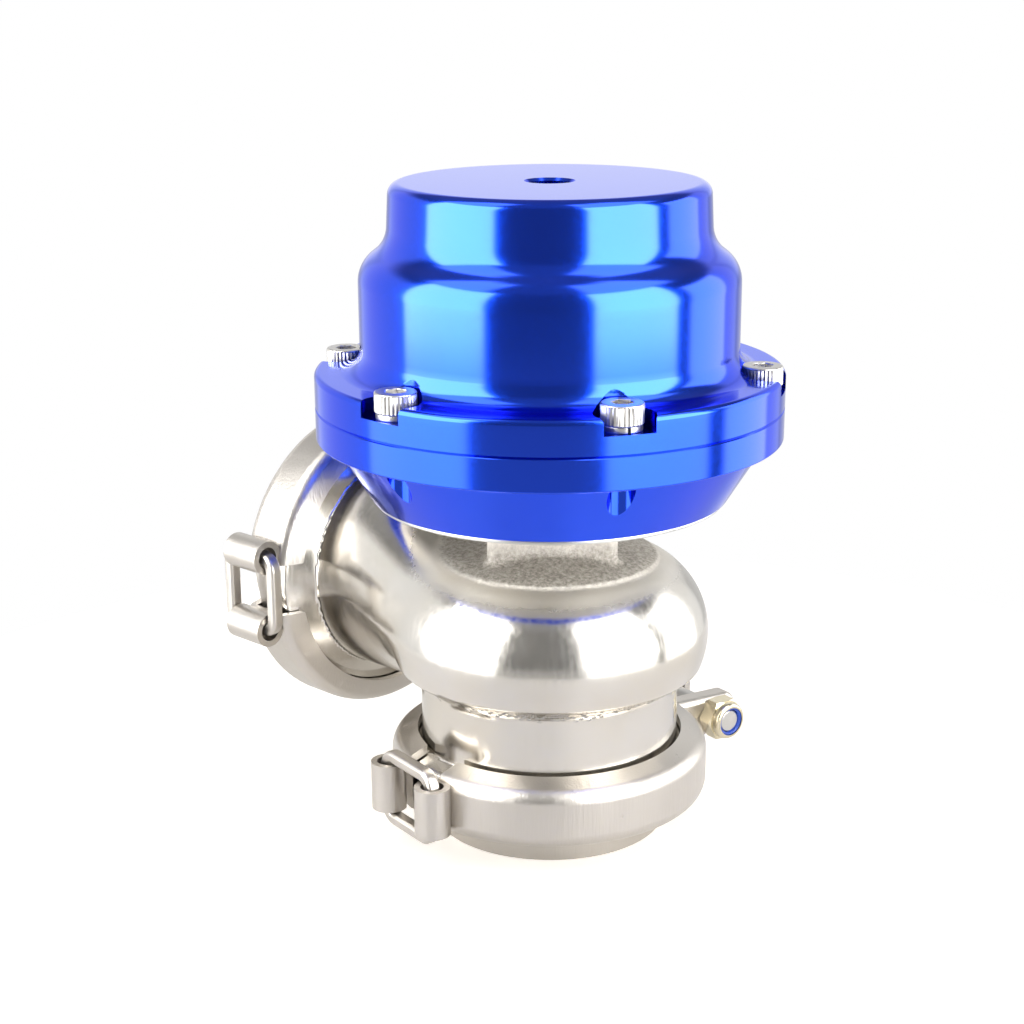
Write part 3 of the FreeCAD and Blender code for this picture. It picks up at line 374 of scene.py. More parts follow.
def around(r, z, t):
    """Grid of points (r cos t, r sin t, z), for rows, columns or grids of r, z and t."""
    r, z, t = np.broadcast_arrays(r, z, t)
    return np.stack([r * np.cos(t), r * np.sin(t), z], axis=2)


def revolved(outline, count):
    """Grid of the (r, z) points of an outline turned about Z in count steps."""
    return around(outline[:, 0, None], outline[:, 1, None], directions(count))


def grid_quads(rows, columns, wrap_rows=False):
    """Quads (i, j), (i, j+1), (i+1, j+1), (i+1, j) of a grid that joins round in j, and in i if asked."""
    i = np.arange(rows if wrap_rows else rows - 1)[:, None]
    j = np.arange(columns)[None, :]
    below = (i + 1) % rows
    right = (j + 1) % columns
    corners = (i * columns + j, i * columns + right, below * columns + right, below * columns + j)
    return np.stack(np.broadcast_arrays(*corners), axis=2).reshape(-1, 4)


def new_mesh(name, points, faces):
    """Mesh of points and faces."""
    mesh = bpy.data.meshes.new(name)
    mesh.from_pydata(points.reshape(-1, 3).tolist(), [], faces)
    return mesh


def grid_mesh(name, points, wrap_rows=False, capped=False):
    """Mesh of a grid; where it is capped, one flat face closes each end."""
    rows, columns = points.shape[:2]
    faces = grid_quads(rows, columns, wrap_rows).tolist()
    if capped:
        faces.append(list(range(columns)))
        faces.append(list(range((rows - 1) * columns, rows * columns))[::-1])
    mesh = new_mesh(name, points, faces)
    tidy(mesh)
    return mesh


def tidy(mesh):
    """Merge doubled points, as at a pole, and turn every face outwards."""
    work = bmesh.new()
    work.from_mesh(mesh)
    bmesh.ops.remove_doubles(work, verts=work.verts, dist=SAME_POINT)
    bmesh.ops.dissolve_degenerate(work, edges=work.edges, dist=SAME_POINT)
    bmesh.ops.recalc_face_normals(work, faces=work.faces)
    work.to_mesh(mesh)
    work.free()


def joined(name, meshes, places):
    """One mesh of several, each repeated at every place."""
    work = bmesh.new()
    for mesh in meshes:
        for place in places:
            copy = mesh.copy()
            copy.transform(place)
            work.from_mesh(copy)
            bpy.data.meshes.remove(copy)
    made = bpy.data.meshes.new(name)
    work.to_mesh(made)
    work.free()
    return made


def placed(name, data):
    """New object in the scene."""
    made = bpy.data.objects.new(name, data)
    bpy.context.scene.collection.objects.link(made)
    return made


def carved(mesh, cutter):
    """Mesh with the cutter taken out of it."""
    solid, tool = placed("carving", mesh), placed("cutter", cutter)
    cut = solid.modifiers.new("cut", "BOOLEAN")
    cut.object = tool
    cut.solver = "EXACT"
    bpy.context.view_layer.update()
    result = bpy.data.meshes.new_from_object(solid.evaluated_get(bpy.context.evaluated_depsgraph_get()))
    for made in (solid, tool):
        bpy.data.objects.remove(made)
    tidy(result)
    return result


def drum(radius, low, high, count):
    """Closed cylinder about Z between two heights."""
    outline = np.array([(0.0, low), (radius, low), (radius, high), (0.0, high)])
    return grid_mesh("drum", revolved(outline, count))


def beside_screws(out):
    """Places at a distance from the axis, one in each cover screw's direction."""
    f = settings("fasteners")
    turns = [Matrix.Rotation(f.first_angle + TURN * i / f.count, 4, "Z") for i in range(f.count)]
    return [turn @ Matrix.Translation((out, 0.0, 0.0)) for turn in turns]


def piece(name, mesh, slot, body, nodes=(), sharp=SHARP, even=True, bevel=0.0):
    """A finished piece: smooth but for edges over the sharp angle, on its body if it has one, for its nodes.

    A bevel breaks its edges, and even normals keep its flat faces flat beside rounds.
    """
    made = placed(name, mesh)
    mesh.materials.clear()
    mesh.materials.append(material(slot))
    if sharp:
        mesh.shade_smooth()
        mesh.set_sharp_from_angle(angle=math.radians(sharp))
    if bevel:
        broken = made.modifiers.new("edges", "BEVEL")
        broken.width = bevel
        broken.segments = 2
        broken.limit_method = "ANGLE"
        broken.angle_limit = math.radians(BEVEL_OVER)
        broken.harden_normals = True
    if even:
        weigh = made.modifiers.new("even", "WEIGHTED_NORMAL")
        weigh.keep_sharp = True
    if body:
        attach(made, body)
    if nodes:
        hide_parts(*nodes)
    return made


# Materials

def add_node(tree, kind, sockets=None, **values):
    """Add one node, set its values, fill its sockets with numbers, colours or links, and give its outputs."""
    made = tree.nodes.new("ShaderNode" + kind)
    for key, value in values.items():
        setattr(made, key, value)
    for key, value in (sockets or {}).items():
        if isinstance(value, bpy.types.NodeSocket):
            tree.links.new(value, made.inputs[key])
        else:
            made.inputs[key].default_value = value
    return made.outputs


def rgba(rgb):
    """Colour with full alpha."""
    return (*rgb, 1.0)


def emptied(owner):
    """Node tree of a new material or world, without its first nodes."""
    owner.use_nodes = True
    owner.node_tree.nodes.clear()
    return owner.node_tree


def started(name):
    """New material, its empty node tree and the object's own coordinates."""
    made = bpy.data.materials.new(name)
    tree = emptied(made)
    return made, tree, add_node(tree, "TexCoord")["Object"]


def surfaced(tree, sockets):
    """The shader with its sockets filled, on the material's output."""
    shader = add_node(tree, "BsdfPrincipled", sockets)
    add_node(tree, "OutputMaterial", {"Surface": shader["BSDF"]})


def anodised_aluminium():
    """Turned, polished and dyed: a clear oxide film over blue metal.

    The eye sees a deep, even blue with sharp highlights. The turning rings are too fine to show and are
    drawn as broad, faint waves.
    """
    tones = settings("finishes")
    made, tree, place = started("anodised_aluminium")
    cloud_size, wave_size, grain_size = 22 * MM, 28 * MM, 0.9 * MM
    dye = add_node(tree, "TexNoise", {"Vector": place, "Scale": 1.0 / cloud_size, "Detail": 3.0})
    dye = add_node(tree, "MapRange", {"Value": dye["Fac"], "From Min": 0.2, "From Max": 0.8})
    tone = add_node(tree, "Mix", {
        0: dye["Result"], 6: rgba(tones.anodised), 7: rgba(tones.anodised_deep),
    }, data_type="RGBA")
    across = add_node(tree, "TexWave", {
        "Vector": place, "Scale": 1.0 / wave_size, "Distortion": 0.6,
    }, wave_type="BANDS", bands_direction="Z")
    rings = add_node(tree, "TexWave", {
        "Vector": place, "Scale": 1.0 / wave_size, "Distortion": 0.4,
    }, wave_type="RINGS", rings_direction="Z")
    both = add_node(tree, "Math", {0: across["Fac"], 1: rings["Fac"]}, operation="ADD")
    relief = add_node(tree, "Bump", {"Height": both["Value"], "Distance": 0.0012 * MM})
    grain = add_node(tree, "TexNoise", {"Vector": place, "Scale": 1.0 / grain_size, "Detail": 4.0})
    rough = add_node(tree, "MapRange", {"Value": grain["Fac"], "To Min": 0.12, "To Max": 0.21})
    surfaced(tree, {
        "Base Color": tone[2], "Roughness": rough["Result"], "Normal": relief["Normal"], "Metallic": 1.0,
        "Coat Weight": 0.75, "Coat Roughness": 0.1, "Coat IOR": 1.4, "Specular Tint": (0.35, 0.45, 1.0, 1.0),
    })
    return made


def plated_steel():
    """Zinc-nickel plating on rolled steel: pale grey, with a faint uneven film that dulls the knurls."""
    made, tree, place = started("plated_steel")
    film = add_node(tree, "TexNoise", {"Vector": place, "Scale": 1.0 / (1.1 * MM), "Detail": 5.0})
    rough = add_node(tree, "MapRange", {"Value": film["Fac"], "To Min": 0.26, "To Max": 0.42})
    relief = add_node(tree, "Bump", {"Height": film["Fac"], "Distance": 0.006 * MM})
    surfaced(tree, {
        "Base Color": rgba(settings("finishes").plated), "Metallic": 1.0,
        "Roughness": rough["Result"], "Normal": relief["Normal"],
    })
    return made


def polished_casting():
    """Cast stainless: polished on the bulb and pipe, duller at the shoulder, left as cast under the plate.

    The eye sees bright metal with a faint warm tint and fine polishing lines, and above the shoulder a
    sandy grey skin with darker pits, which turns paler up the column towards the plate. The real lines
    are finer, and are drawn as coarse as they need to be to show.
    """
    tones = settings("finishes")
    made, tree, place = started("polished_casting")
    height = add_node(tree, "SeparateXYZ", {"Vector": place})["Z"]
    flat = add_node(tree, "Mapping", {"Vector": place, "Scale": (1.0, 1.0, 0.0)})
    out = add_node(tree, "VectorMath", {0: flat["Vector"]}, operation="LENGTH")["Value"]
    zones = {}
    # Where each zone begins and ends, as a height or a distance from the axis in millimetres, and its
    # weight at both
    for zone, measure, begin, end, first, last in (
        ("cast_up", height, 51.5, 54.0, 0.0, 1.0),
        ("cast_out", out, 20.0, 22.5, 1.0, 0.0),
        ("dull_up", height, 49.5, 52.5, 0.0, 1.0),
        ("dull_out", out, 23.0, 29.0, 1.0, 0.0),
        # Colour turning paler up the column towards the plate, from the darker skin at its foot
        ("paler_up", height, 55.5, 61.0, 0.12, 0.75),
    ):
        zones[zone] = add_node(tree, "MapRange", {
            "Value": measure, "From Min": begin * MM, "From Max": end * MM, "To Min": first, "To Max": last,
        }, interpolation_type="SMOOTHSTEP")["Result"]
    cast = add_node(tree, "MapRange", {"Value": zones["cast_up"], "To Max": zones["cast_out"]})["Result"]
    dull = add_node(tree, "MapRange", {"Value": zones["dull_up"], "To Max": zones["dull_out"]})["Result"]

    tint_size, line_size, sand_size, wave_size = 16 * MM, 0.7 * MM, 0.8 * MM, 5 * MM
    lay = add_node(tree, "Mapping", {"Vector": place, "Scale": (1.0, 1.0, 0.16)})
    lines = add_node(tree, "TexNoise", {"Vector": lay["Vector"], "Scale": 1.0 / line_size, "Detail": 6.0})
    sand = add_node(tree, "TexNoise", {
        "Vector": place, "Scale": 1.0 / sand_size, "Detail": 8.0, "Roughness": 0.8,
    })
    waves = add_node(tree, "TexNoise", {"Vector": place, "Scale": 1.0 / wave_size, "Detail": 2.0})
    relief = add_node(tree, "Math", {0: sand["Fac"], 1: cast}, operation="MULTIPLY")["Value"]
    rough = add_node(tree, "MapRange", {"Value": lines["Fac"], "To Min": 0.08, "To Max": 0.28})["Result"]
    for part, weight in ((lines["Fac"], 0.012), (waves["Fac"], 0.12)):
        relief = add_node(tree, "Math", {0: part, 1: weight, 2: relief}, operation="MULTIPLY_ADD")["Value"]
    for part, weight in ((dull, 0.26), (cast, 0.16)):
        rough = add_node(tree, "Math", {0: part, 1: weight, 2: rough}, operation="MULTIPLY_ADD")["Value"]
    bump = add_node(tree, "Bump", {"Height": relief, "Distance": 0.34 * MM})

    tint = add_node(tree, "TexNoise", {"Vector": place, "Scale": 1.0 / tint_size, "Detail": 3.0})
    tint = add_node(tree, "MapRange", {"Value": tint["Fac"], "From Min": 0.25, "From Max": 0.75})
    grit = add_node(tree, "MapRange", {"Value": sand["Fac"], "From Min": 0.38, "From Max": 0.6})
    bright = add_node(tree, "Mix", {
        0: tint["Result"], 6: rgba(tones.polished), 7: rgba(tones.polished_warm),
    }, data_type="RGBA")
    skin = add_node(tree, "Mix", {
        0: grit["Result"], 6: rgba(tones.cast_pits), 7: rgba(tones.cast),
    }, data_type="RGBA")
    # The skin turns paler up the column towards the plate
    skin = add_node(tree, "Mix", {0: zones["paler_up"], 6: skin[2], 7: rgba(tones.cast_face)}, data_type="RGBA")
    tone = add_node(tree, "Mix", {0: cast, 6: bright[2], 7: skin[2]}, data_type="RGBA")
    surfaced(tree, {"Base Color": tone[2], "Metallic": 1.0, "Roughness": rough, "Normal": bump["Normal"]})
    return made


def brushed_stainless():
    """Pressed stainless sheet: a fine satin brushing across the band, worn smoother in places.

    The real brushing is finer, and is drawn as coarse as it needs to be to show.
    """
    made, tree, place = started("brushed_stainless")
    line_size, wear_size = 0.45 * MM, 5 * MM
    lay = add_node(tree, "Mapping", {"Vector": place, "Scale": (1.0, 1.0, 0.07)})
    lines = add_node(tree, "TexNoise", {"Vector": lay["Vector"], "Scale": 1.0 / line_size, "Detail": 4.0})
    wear = add_node(tree, "TexNoise", {"Vector": place, "Scale": 1.0 / wear_size, "Detail": 3.0})
    both = add_node(tree, "Math", {0: lines["Fac"], 1: wear["Fac"]}, operation="MULTIPLY")
    rough = add_node(tree, "MapRange", {"Value": both["Value"], "To Min": 0.24, "To Max": 0.6})
    relief = add_node(tree, "Bump", {"Height": lines["Fac"], "Distance": 0.05 * MM})
    surfaced(tree, {
        "Base Color": rgba(settings("finishes").satin), "Metallic": 1.0,
        "Roughness": rough["Result"], "Normal": relief["Normal"],
    })
    return made


def marked(name, tone, low, high, size, depth, metallic):
    """A plain finish: marks of a given size and depth change the roughness from low to high."""
    made, tree, place = started(name)
    marks = add_node(tree, "TexNoise", {"Vector": place, "Scale": 1.0 / (size * MM), "Detail": 4.0})
    rough = add_node(tree, "MapRange", {"Value": marks["Fac"], "To Min": low, "To Max": high})
    relief = add_node(tree, "Bump", {"Height": marks["Fac"], "Distance": depth * MM})
    surfaced(tree, {
        "Base Color": rgba(getattr(settings("finishes"), tone)), "Metallic": metallic,
        "Roughness": rough["Result"], "Normal": relief["Normal"],
    })
    return made


WORKED = {
    "blue_anodised": anodised_aluminium,
    "plated_steel": plated_steel,
    "polished_stainless": polished_casting,
    "satin_stainless": brushed_stainless,
}
# Each plain finish: its material, its colour, roughness between marks and on them, the marks' size and
# depth in millimetres, and 1 for a metal
PLAIN = {
    # Stamped from rolled sheet: bright, with a soft grain
    "plate_steel": ("rolled_sheet", "sheet", 0.26, 0.42, 1.5, 0.01, 1.0),
    # Drawn and tempered: dark and silky
    "spring_steel": ("spring_wire", "wire", 0.3, 0.5, 0.6, 0.02, 1.0),
    # Ground: a bright grey with a fine lay
    "valve_steel": ("ground_valve_steel", "ground", 0.16, 0.34, 0.5, 0.01, 1.0),
    # Machined bronze: warm yellow, lightly scored
    "bronze": ("machined_bronze", "bronze", 0.2, 0.36, 0.6, 0.01, 1.0),
    # Fabric under silicone: matt black, with the weave just felt
    "diaphragm_rubber": ("silicone_cloth", "rubber", 0.5, 0.7, 0.5, 0.04, 0.0),
    # Filled plastic: dull brown
    "seal_ptfe": ("filled_ptfe", "ptfe", 0.35, 0.5, 0.4, 0.01, 0.0),
    # Turned and left bare: pale and fairly bright
    "turned_aluminium": ("turned_aluminium", "turned", 0.2, 0.34, 0.5, 0.01, 1.0),
    # Passivated: bright with a yellowish film
    "nut_plating": ("passivated_steel", "nut", 0.14, 0.32, 0.8, 0.012, 1.0),
    # Moulded: even blue with a soft gloss
    "blue_nylon": ("moulded_nylon", "nylon", 0.28, 0.42, 0.4, 0.01, 0.0),
}
MATERIALS = {}


def material(slot):
    """The material of a finish, made when it is first asked for."""
    if slot not in MATERIALS:
        MATERIALS[slot] = WORKED[slot]() if slot in WORKED else marked(*PLAIN[slot])
    return MATERIALS[slot]


# Diaphragm housing

def port_thread(s, top):
    """Thread of the port and its backing wall.

    The wall's radius is the bore less depth times a saw tooth of height / pitch - turn.
    """
    bore = s.port_r + s.thread_depth
    mouth, foot = top - s.port_mouth, top - s.roof_t
    rows, columns, fullness = 90, 72, 0.9
    z = np.linspace(foot, mouth, rows)[:, None]
    t = directions(columns)
    phase = ((z - top) / s.thread_pitch - t / TURN) % 1.0
    crest = bore - s.thread_depth * (1.0 - np.abs(2.0 * phase - 1.0)) * fullness
    back = revolved(np.array([(bore + MM, mouth), (bore + MM, foot)]), columns)
    return grid_mesh("thread", np.concatenate([around(crest, z, t), back]), wrap_rows=True)


class WASTEGATE_OT_cover(bpy.types.Operator):
    """Turned spring cover: stepped dome, flange with a notch at each screw, threaded port"""

    bl_idname = "wastegate.cover"
    bl_label = "Spring cover"

    def execute(self, context):
        s, f = settings("cover"), settings("fasteners")
        top, seam, rim = COVER_HIGH.z, COVER_LOW.z, COVER_HIGH.x
        flange = seam + s.flange_t
        middle = top - s.step_drop
        climb = (s.low_r - s.high_r) / 2 / math.tan(s.step_angle)
        outside = rounded([
            (s.port_r + s.port_mouth, top),
            (s.top_r, top, s.edge_round),
            (s.high_r, middle + climb, s.step_round),
            (s.low_r, middle - climb, s.step_round),
            (s.low_r, flange, s.foot_round),
            (rim, flange, s.rim_round),
            (rim, seam + s.rim_chamfer),
            (rim - s.rim_chamfer, seam),
        ], steps=14, fill=LONGEST_RUN)
        inside = rounded([
            (s.low_r - s.wall, seam),
            (s.low_r - s.wall, middle - climb, s.step_round / 2),
            (s.high_r - s.wall, middle + climb - 2 * s.rim_round, s.step_round / 2),
            (s.high_r - s.wall, top - s.roof_t, s.edge_round),
            (s.port_r, top - s.roof_t),
            (s.port_r, top - s.port_mouth),
        ], steps=6)
        shell = grid_mesh("cover", revolved(np.concatenate([outside, inside]), SHELL_STEPS), wrap_rows=True)
        notch = drum(f.notch_r, WASHERS_LOW.z, top, 64)
        hole = drum(f.shank_r, seam - f.head_h, WASHERS_LOW.z + f.head_h, 32)
        shell = carved(shell, joined("notches", [notch], beside_screws(f.notch_circle_r)))
        shell = carved(shell, joined("holes", [hole], beside_screws(f.circle_r)))
        piece("spring_cover", shell, "blue_anodised", "root", ["top_cover"])
        piece("port_thread", port_thread(s, top), "blue_anodised", "root", sharp=None, even=False)
        return {"FINISHED"}


class WASTEGATE_OT_housing(bpy.types.Operator):
    """Lower housing: flange, cone, grooves below the screws and the side port"""

    bl_idname = "wastegate.housing"
    bl_label = "Lower housing"

    def execute(self, context):
        s, f, c = settings("housing"), settings("fasteners"), settings("cover")
        guide_r = settings("body").guide_r
        seam, foot, rim = HOUSING_HIGH.z, HOUSING_LOW.z, HOUSING_HIGH.x
        flange = seam - s.flange_t
        outline = rounded([
            (guide_r, foot),
            (s.foot_r, foot, s.rim_round),
            (rim - s.cone_step, flange),
            (rim, flange, s.rim_round),
            (rim, seam - c.rim_chamfer),
            (rim - c.rim_chamfer, seam),
            (s.chamber_r, seam),
            (s.chamber_r, foot + s.floor_t, s.rim_round),
            (guide_r, foot + s.floor_t),
        ], closed=True, steps=6, fill=LONGEST_RUN)
        shell = grid_mesh("housing", revolved(outline, SHELL_STEPS), wrap_rows=True)
        groove = grid_mesh("groove", revolved(np.array([
            (0.0, foot - MM), (s.scallop_r, foot - MM), (s.scallop_r, flange), (f.shank_r, flange),
            (f.shank_r, seam + MM), (0.0, seam + MM),
        ]), 48))
        shell = carved(shell, joined("grooves", [groove], beside_screws(f.circle_r)))
        port = grid_mesh("port", revolved(np.array([
            (0.0, s.chamber_r - s.floor_t), (s.side_port_r, s.chamber_r - s.floor_t),
            (s.side_port_r, s.side_face_at), (s.side_face_r, s.side_face_at),
            (s.side_face_r, rim + s.cone_step), (0.0, rim + s.cone_step),
        ]), 64))
        outwards = Matrix.Rotation(s.side_port_angle, 4, "Z") @ Matrix.Translation((0.0, 0.0, s.side_port_z))
        shell = carved(shell, joined("port", [port], [outwards @ Matrix.Rotation(math.pi / 2, 4, "Y")]))
        piece("lower_shell", shell, "blue_anodised", "root", ["lower_housing"])
        return {"FINISHED"}


def hexagon_reach(across_flats, t):
    """Radius of a hexagon in direction t, its flats facing +-Y: half its width / cos(angle off a flat)."""
    return across_flats / 2 / np.cos(t % (math.pi / 3) - math.pi / 6)


def knurled_screw(f):
    """Socket-head screw about Z: a saw tooth of grooves round its head, and a hexagon for its socket."""
    seat, top = WASHERS_HIGH.z, WASHERS_HIGH.z + f.head_h
    steps_per_groove = 4
    t = directions(f.knurls * steps_per_groove)
    groove = f.knurl_depth * (1.0 - np.abs(2.0 * ((t * f.knurls / TURN) % 1.0) - 1.0))
    end = 0.3 * MM
    # Radius, height and share of the groove's depth, up the outside of the screw
    outline = np.array([
        (0.0, SCREWS_LOW.z, 0.0),
        (f.shank_r - end, SCREWS_LOW.z, 0.0),
        (f.shank_r, SCREWS_LOW.z + end, 0.0),
        (f.shank_r, seat, 0.0),
        (f.head_r - 2 * f.knurl_depth, seat, 0.0),
        (f.head_r - f.knurl_depth, seat + f.knurl_depth, 0.4),
        (f.head_r, seat + 2 * f.knurl_depth, 1.0),
        (f.head_r, top - f.head_round - f.knurl_depth, 1.0),
    ])
    edge = arc((f.head_r - f.head_round, top - f.head_round), f.head_round, 0.0, math.pi / 2, 7)
    fading = np.zeros(len(edge))
    fading[:2] = 1.0, 0.35
    edge = np.column_stack([edge, fading])
    outer_r, outer_z, part = np.concatenate([outline, edge]).T[:, :, None]
    # Down the socket: its round mouth, its walls, a small step, and a drilled cone below
    hexagon = hexagon_reach(f.socket_af, t)
    chamfer, step, cone = 0.14 * MM, 0.12 * MM, 0.5 * MM
    mouth = np.maximum(hexagon + step, f.socket_af / 2 * 1.1)
    floor = top - f.socket_depth
    inner_r = np.concatenate([mouth, hexagon, hexagon, hexagon * 0.96, hexagon * 0.0])
    inner_z = np.array([top, top - chamfer, floor + step, floor, floor - cone])[:, None]
    r = np.concatenate([outer_r - part * groove, inner_r])
    return grid_mesh("screw", around(r, np.concatenate([outer_z, inner_z]), t))


def split_washer(f):
    """Spring washer about Z: a rounded section carried round all but its split."""
    low, high, bore = WASHERS_LOW.z, WASHERS_HIGH.z, f.shank_r + 0.15 * MM
    inner_round, outer_round = 0.1 * MM, 0.2 * MM
    section = rounded([
        (bore, low, inner_round),
        (f.washer_r, low, outer_round),
        (f.washer_r, high, outer_round),
        (bore, high, inner_round),
    ], closed=True, steps=5)
    split = f.washer_split / f.washer_r
    t = np.linspace(split / 2, TURN - split / 2, 73)[:, None]
    return grid_mesh("washer", around(section[None, :, 0], section[None, :, 1], t), capped=True)


class WASTEGATE_OT_cover_fasteners(bpy.types.Operator):
    """Knurled socket-head screws and split spring washers"""

    bl_idname = "wastegate.cover_fasteners"
    bl_label = "Cover screws and washers"

    def execute(self, context):
        f = settings("fasteners")
        # Each screw stopped at its own angle, in radians
        turned_on = 0.35
        places = beside_screws(f.circle_r)
        places = [place @ Matrix.Rotation(turned_on * i, 4, "Z") for i, place in enumerate(places)]
        for name, mesh, node in (
            ("cover_screws_knurled", knurled_screw(f), "cover_screws"),
            ("cover_washers_split", split_washer(f), "cover_washers"),
        ):
            piece(name, joined(name, [mesh], places), "plated_steel", "root", [node])
        return {"FINISHED"}


# Valve body

def fillet_union(a, b, size):
    """Union of two distances with a round fillet in the corner between them."""
    return np.maximum(size, np.minimum(a, b)) - np.hypot(np.maximum(size - a, 0.0), np.maximum(size - b, 0.0))


def rounded_cut(a, b, size):
    """Overlap of two distances with its edge rounded."""
    return -fillet_union(-a, -b, size)


def soft_union(a, b, size):
    """Union of two distances, pulled together where they differ by less than size."""
    near = np.maximum(size - np.abs(a - b), 0.0) / size
    return np.minimum(a, b) - near * near * size / 4


class Casting:
    """Distance to the surface of the cast body, negative inside the metal."""

    def __init__(self, sizes, clamp):
        self.s = sizes
        self.c = clamp
        self.cove = self.meridian_r(sizes.bulb_z - sizes.edge_drop) - sizes.neck_r
        self.pipe_end = OUTLET_JOINT_X + self.flank(sizes.outlet_r)

    def flank(self, r):
        """Half width of a band flange at radius r."""
        c = self.c
        lip = c.lip_half - c.sheet_t / math.cos(c.v_angle)
        return lip - (r - c.lip_r) * math.tan(c.v_angle) - c.v_clearance

    def meridian_r(self, z):
        """Radius of the bulb at a height in its lower half."""
        s = self.s
        return s.bulb_r - s.lower_round + math.sqrt(s.lower_round ** 2 - (z - s.bulb_z) ** 2)

    def bulb(self, r, z, inset):
        """Turned bulb: a round of one radius above its widest place and another below."""
        s = self.s
        size = np.where(z > s.bulb_z, s.upper_round, s.lower_round)
        out = np.maximum(r - (s.bulb_r - size), 0.0)
        return np.hypot(out, z - s.bulb_z) - size + inset

    def pipe(self, x, y, z, inset, end_r):
        """Pipe whose section turns into a circle by a smooth step along it.

        It starts as the bulb's own round above, and below as |y / width|^bend + |z / depth|^bend = 1.
        """
        s = self.s
        along = np.clip(x / self.pipe_end, 0.0, 1.0)
        part = along * along * (3.0 - 2.0 * along)
        up = z - (s.bulb_z + part * (OUTLET_AXIS_Z - s.bulb_z))
        reach = np.hypot(y, up) + 1e-9
        cos, sin = np.abs(y) / reach, np.abs(up) / reach
        centre = s.bulb_r - s.upper_round
        less = inset + s.duct_sink * (1.0 - along)
        size = s.upper_round - less
        on_arc = centre * cos + np.sqrt(np.maximum(size ** 2 - (centre * sin) ** 2, 0.0))
        above = np.where(on_arc * cos >= centre, on_arc, size / np.maximum(sin, 1e-6))
        bend = s.pipe_bend
        below = ((cos / (s.bulb_r - less)) ** bend + (sin / (s.lower_round - less)) ** bend) ** (-1.0 / bend)
        start = np.where(up > 0, above, below)
        return np.maximum(reach - ((1.0 - part) * start + part * end_r), x)

    def column(self, x, y, z):
        """Column with four flats and four tapered posts."""
        s = self.s
        u = np.maximum(np.abs(x), np.abs(y))
        v = np.minimum(np.abs(x), np.abs(y))
        corner_u = (s.column_flat + s.column_flat_half) / math.sqrt(2)
        corner_v = (s.column_flat - s.column_flat_half) / math.sqrt(2)
        slope = (corner_v - s.post_half) / (s.post_reach - corner_u)
        core = (u + v) / math.sqrt(2) - s.column_flat
        fin = (v - corner_v + slope * (u - corner_u)) / math.hypot(1.0, slope)
        return fillet_union(core, np.maximum(fin, u - s.post_reach), s.cast_blend / 2)

    def band_flange(self, r, ahead):
        """Flange behind a mating plane; ahead is the distance from the plane into the body."""
        s = self.s
        back = (ahead - self.flank(r)) * math.cos(self.c.v_angle)
        return rounded_cut(r - s.flange_rim_r, back, s.flange_edge)

    def outside(self, x, y, z, r):
        """Outer form: bulb, neck, pipe, shoulder, column and both band flanges, cut at the joints."""
        s = self.s
        edge_z = s.bulb_z - s.edge_drop
        shoulder_z = s.bulb_z + math.sqrt(s.upper_round ** 2 - (s.shoulder_r - s.bulb_r + s.upper_round) ** 2)
        slope = s.shoulder_rise / (s.shoulder_r - s.column_flat)
        cone = ((z - shoulder_z) + (r - s.shoulder_r) * slope) / math.hypot(1.0, slope)
        cone = np.maximum(cone, r - s.shoulder_r)
        bulb = self.bulb(r, z, 0.0)
        cut_bulb = rounded_cut(bulb, edge_z - z, s.edge_round)
        neck = np.maximum(r - s.neck_r, z - s.bulb_z)
        pipe = self.pipe(x, y, z, 0.0, s.outlet_r)
        turned = fillet_union(cut_bulb, neck, self.cove)
        shape = np.minimum(turned, fillet_union(pipe, neck, s.neck_blend))
        shape = np.minimum(shape, soft_union(cut_bulb, pipe, s.pipe_blend))
        shape = soft_union(shape, cone, s.cast_blend)
        shape = fillet_union(shape, self.column(x, y, z), s.cast_blend)
        across = np.hypot(y, z - OUTLET_AXIS_Z)
        shape = np.minimum(shape, np.maximum(self.band_flange(r, z - INLET_JOINT_Z), INLET_JOINT_Z - z))
        shape = np.minimum(shape, self.band_flange(across, x - OUTLET_JOINT_X))
        shape = np.maximum(shape, INLET_JOINT_Z - z)
        shape = np.maximum(shape, OUTLET_JOINT_X - x)
        return np.maximum(shape, z - BODY_HIGH.z)

    def inside(self, x, y, z, r):
        """Hollow: bulb and pipe less their wall, neck bore, and the bore through the guide's boss."""
        s = self.s
        bore = np.maximum(r - s.neck_bore_r, z - s.bulb_z)
        hollow = np.minimum(self.bulb(r, z, s.wall), self.pipe(x, y, z, s.wall, s.outlet_bore_r))
        hollow = np.minimum(fillet_union(hollow, bore, MM), bore)
        boss = np.maximum(r - s.boss_r, s.boss_z - z)
        hollow = np.maximum(hollow, -boss)
        return np.minimum(hollow, r - s.guide_r)

    def __call__(self, p):
        x, y, z = p[..., 0], p[..., 1], p[..., 2]
        r = np.hypot(x, y)
        return np.maximum(self.outside(x, y, z, r), -self.inside(x, y, z, r))

    def slope(self, p, step=0.02 * MM):
        """Direction in which the distance grows, by central differences."""
        parts = []
        for axis in range(3):
            move = np.zeros(3)
            move[axis] = step
            parts.append((self(p + move) - self(p - move)) / (2 * step))
        return np.stack(parts, axis=-1)


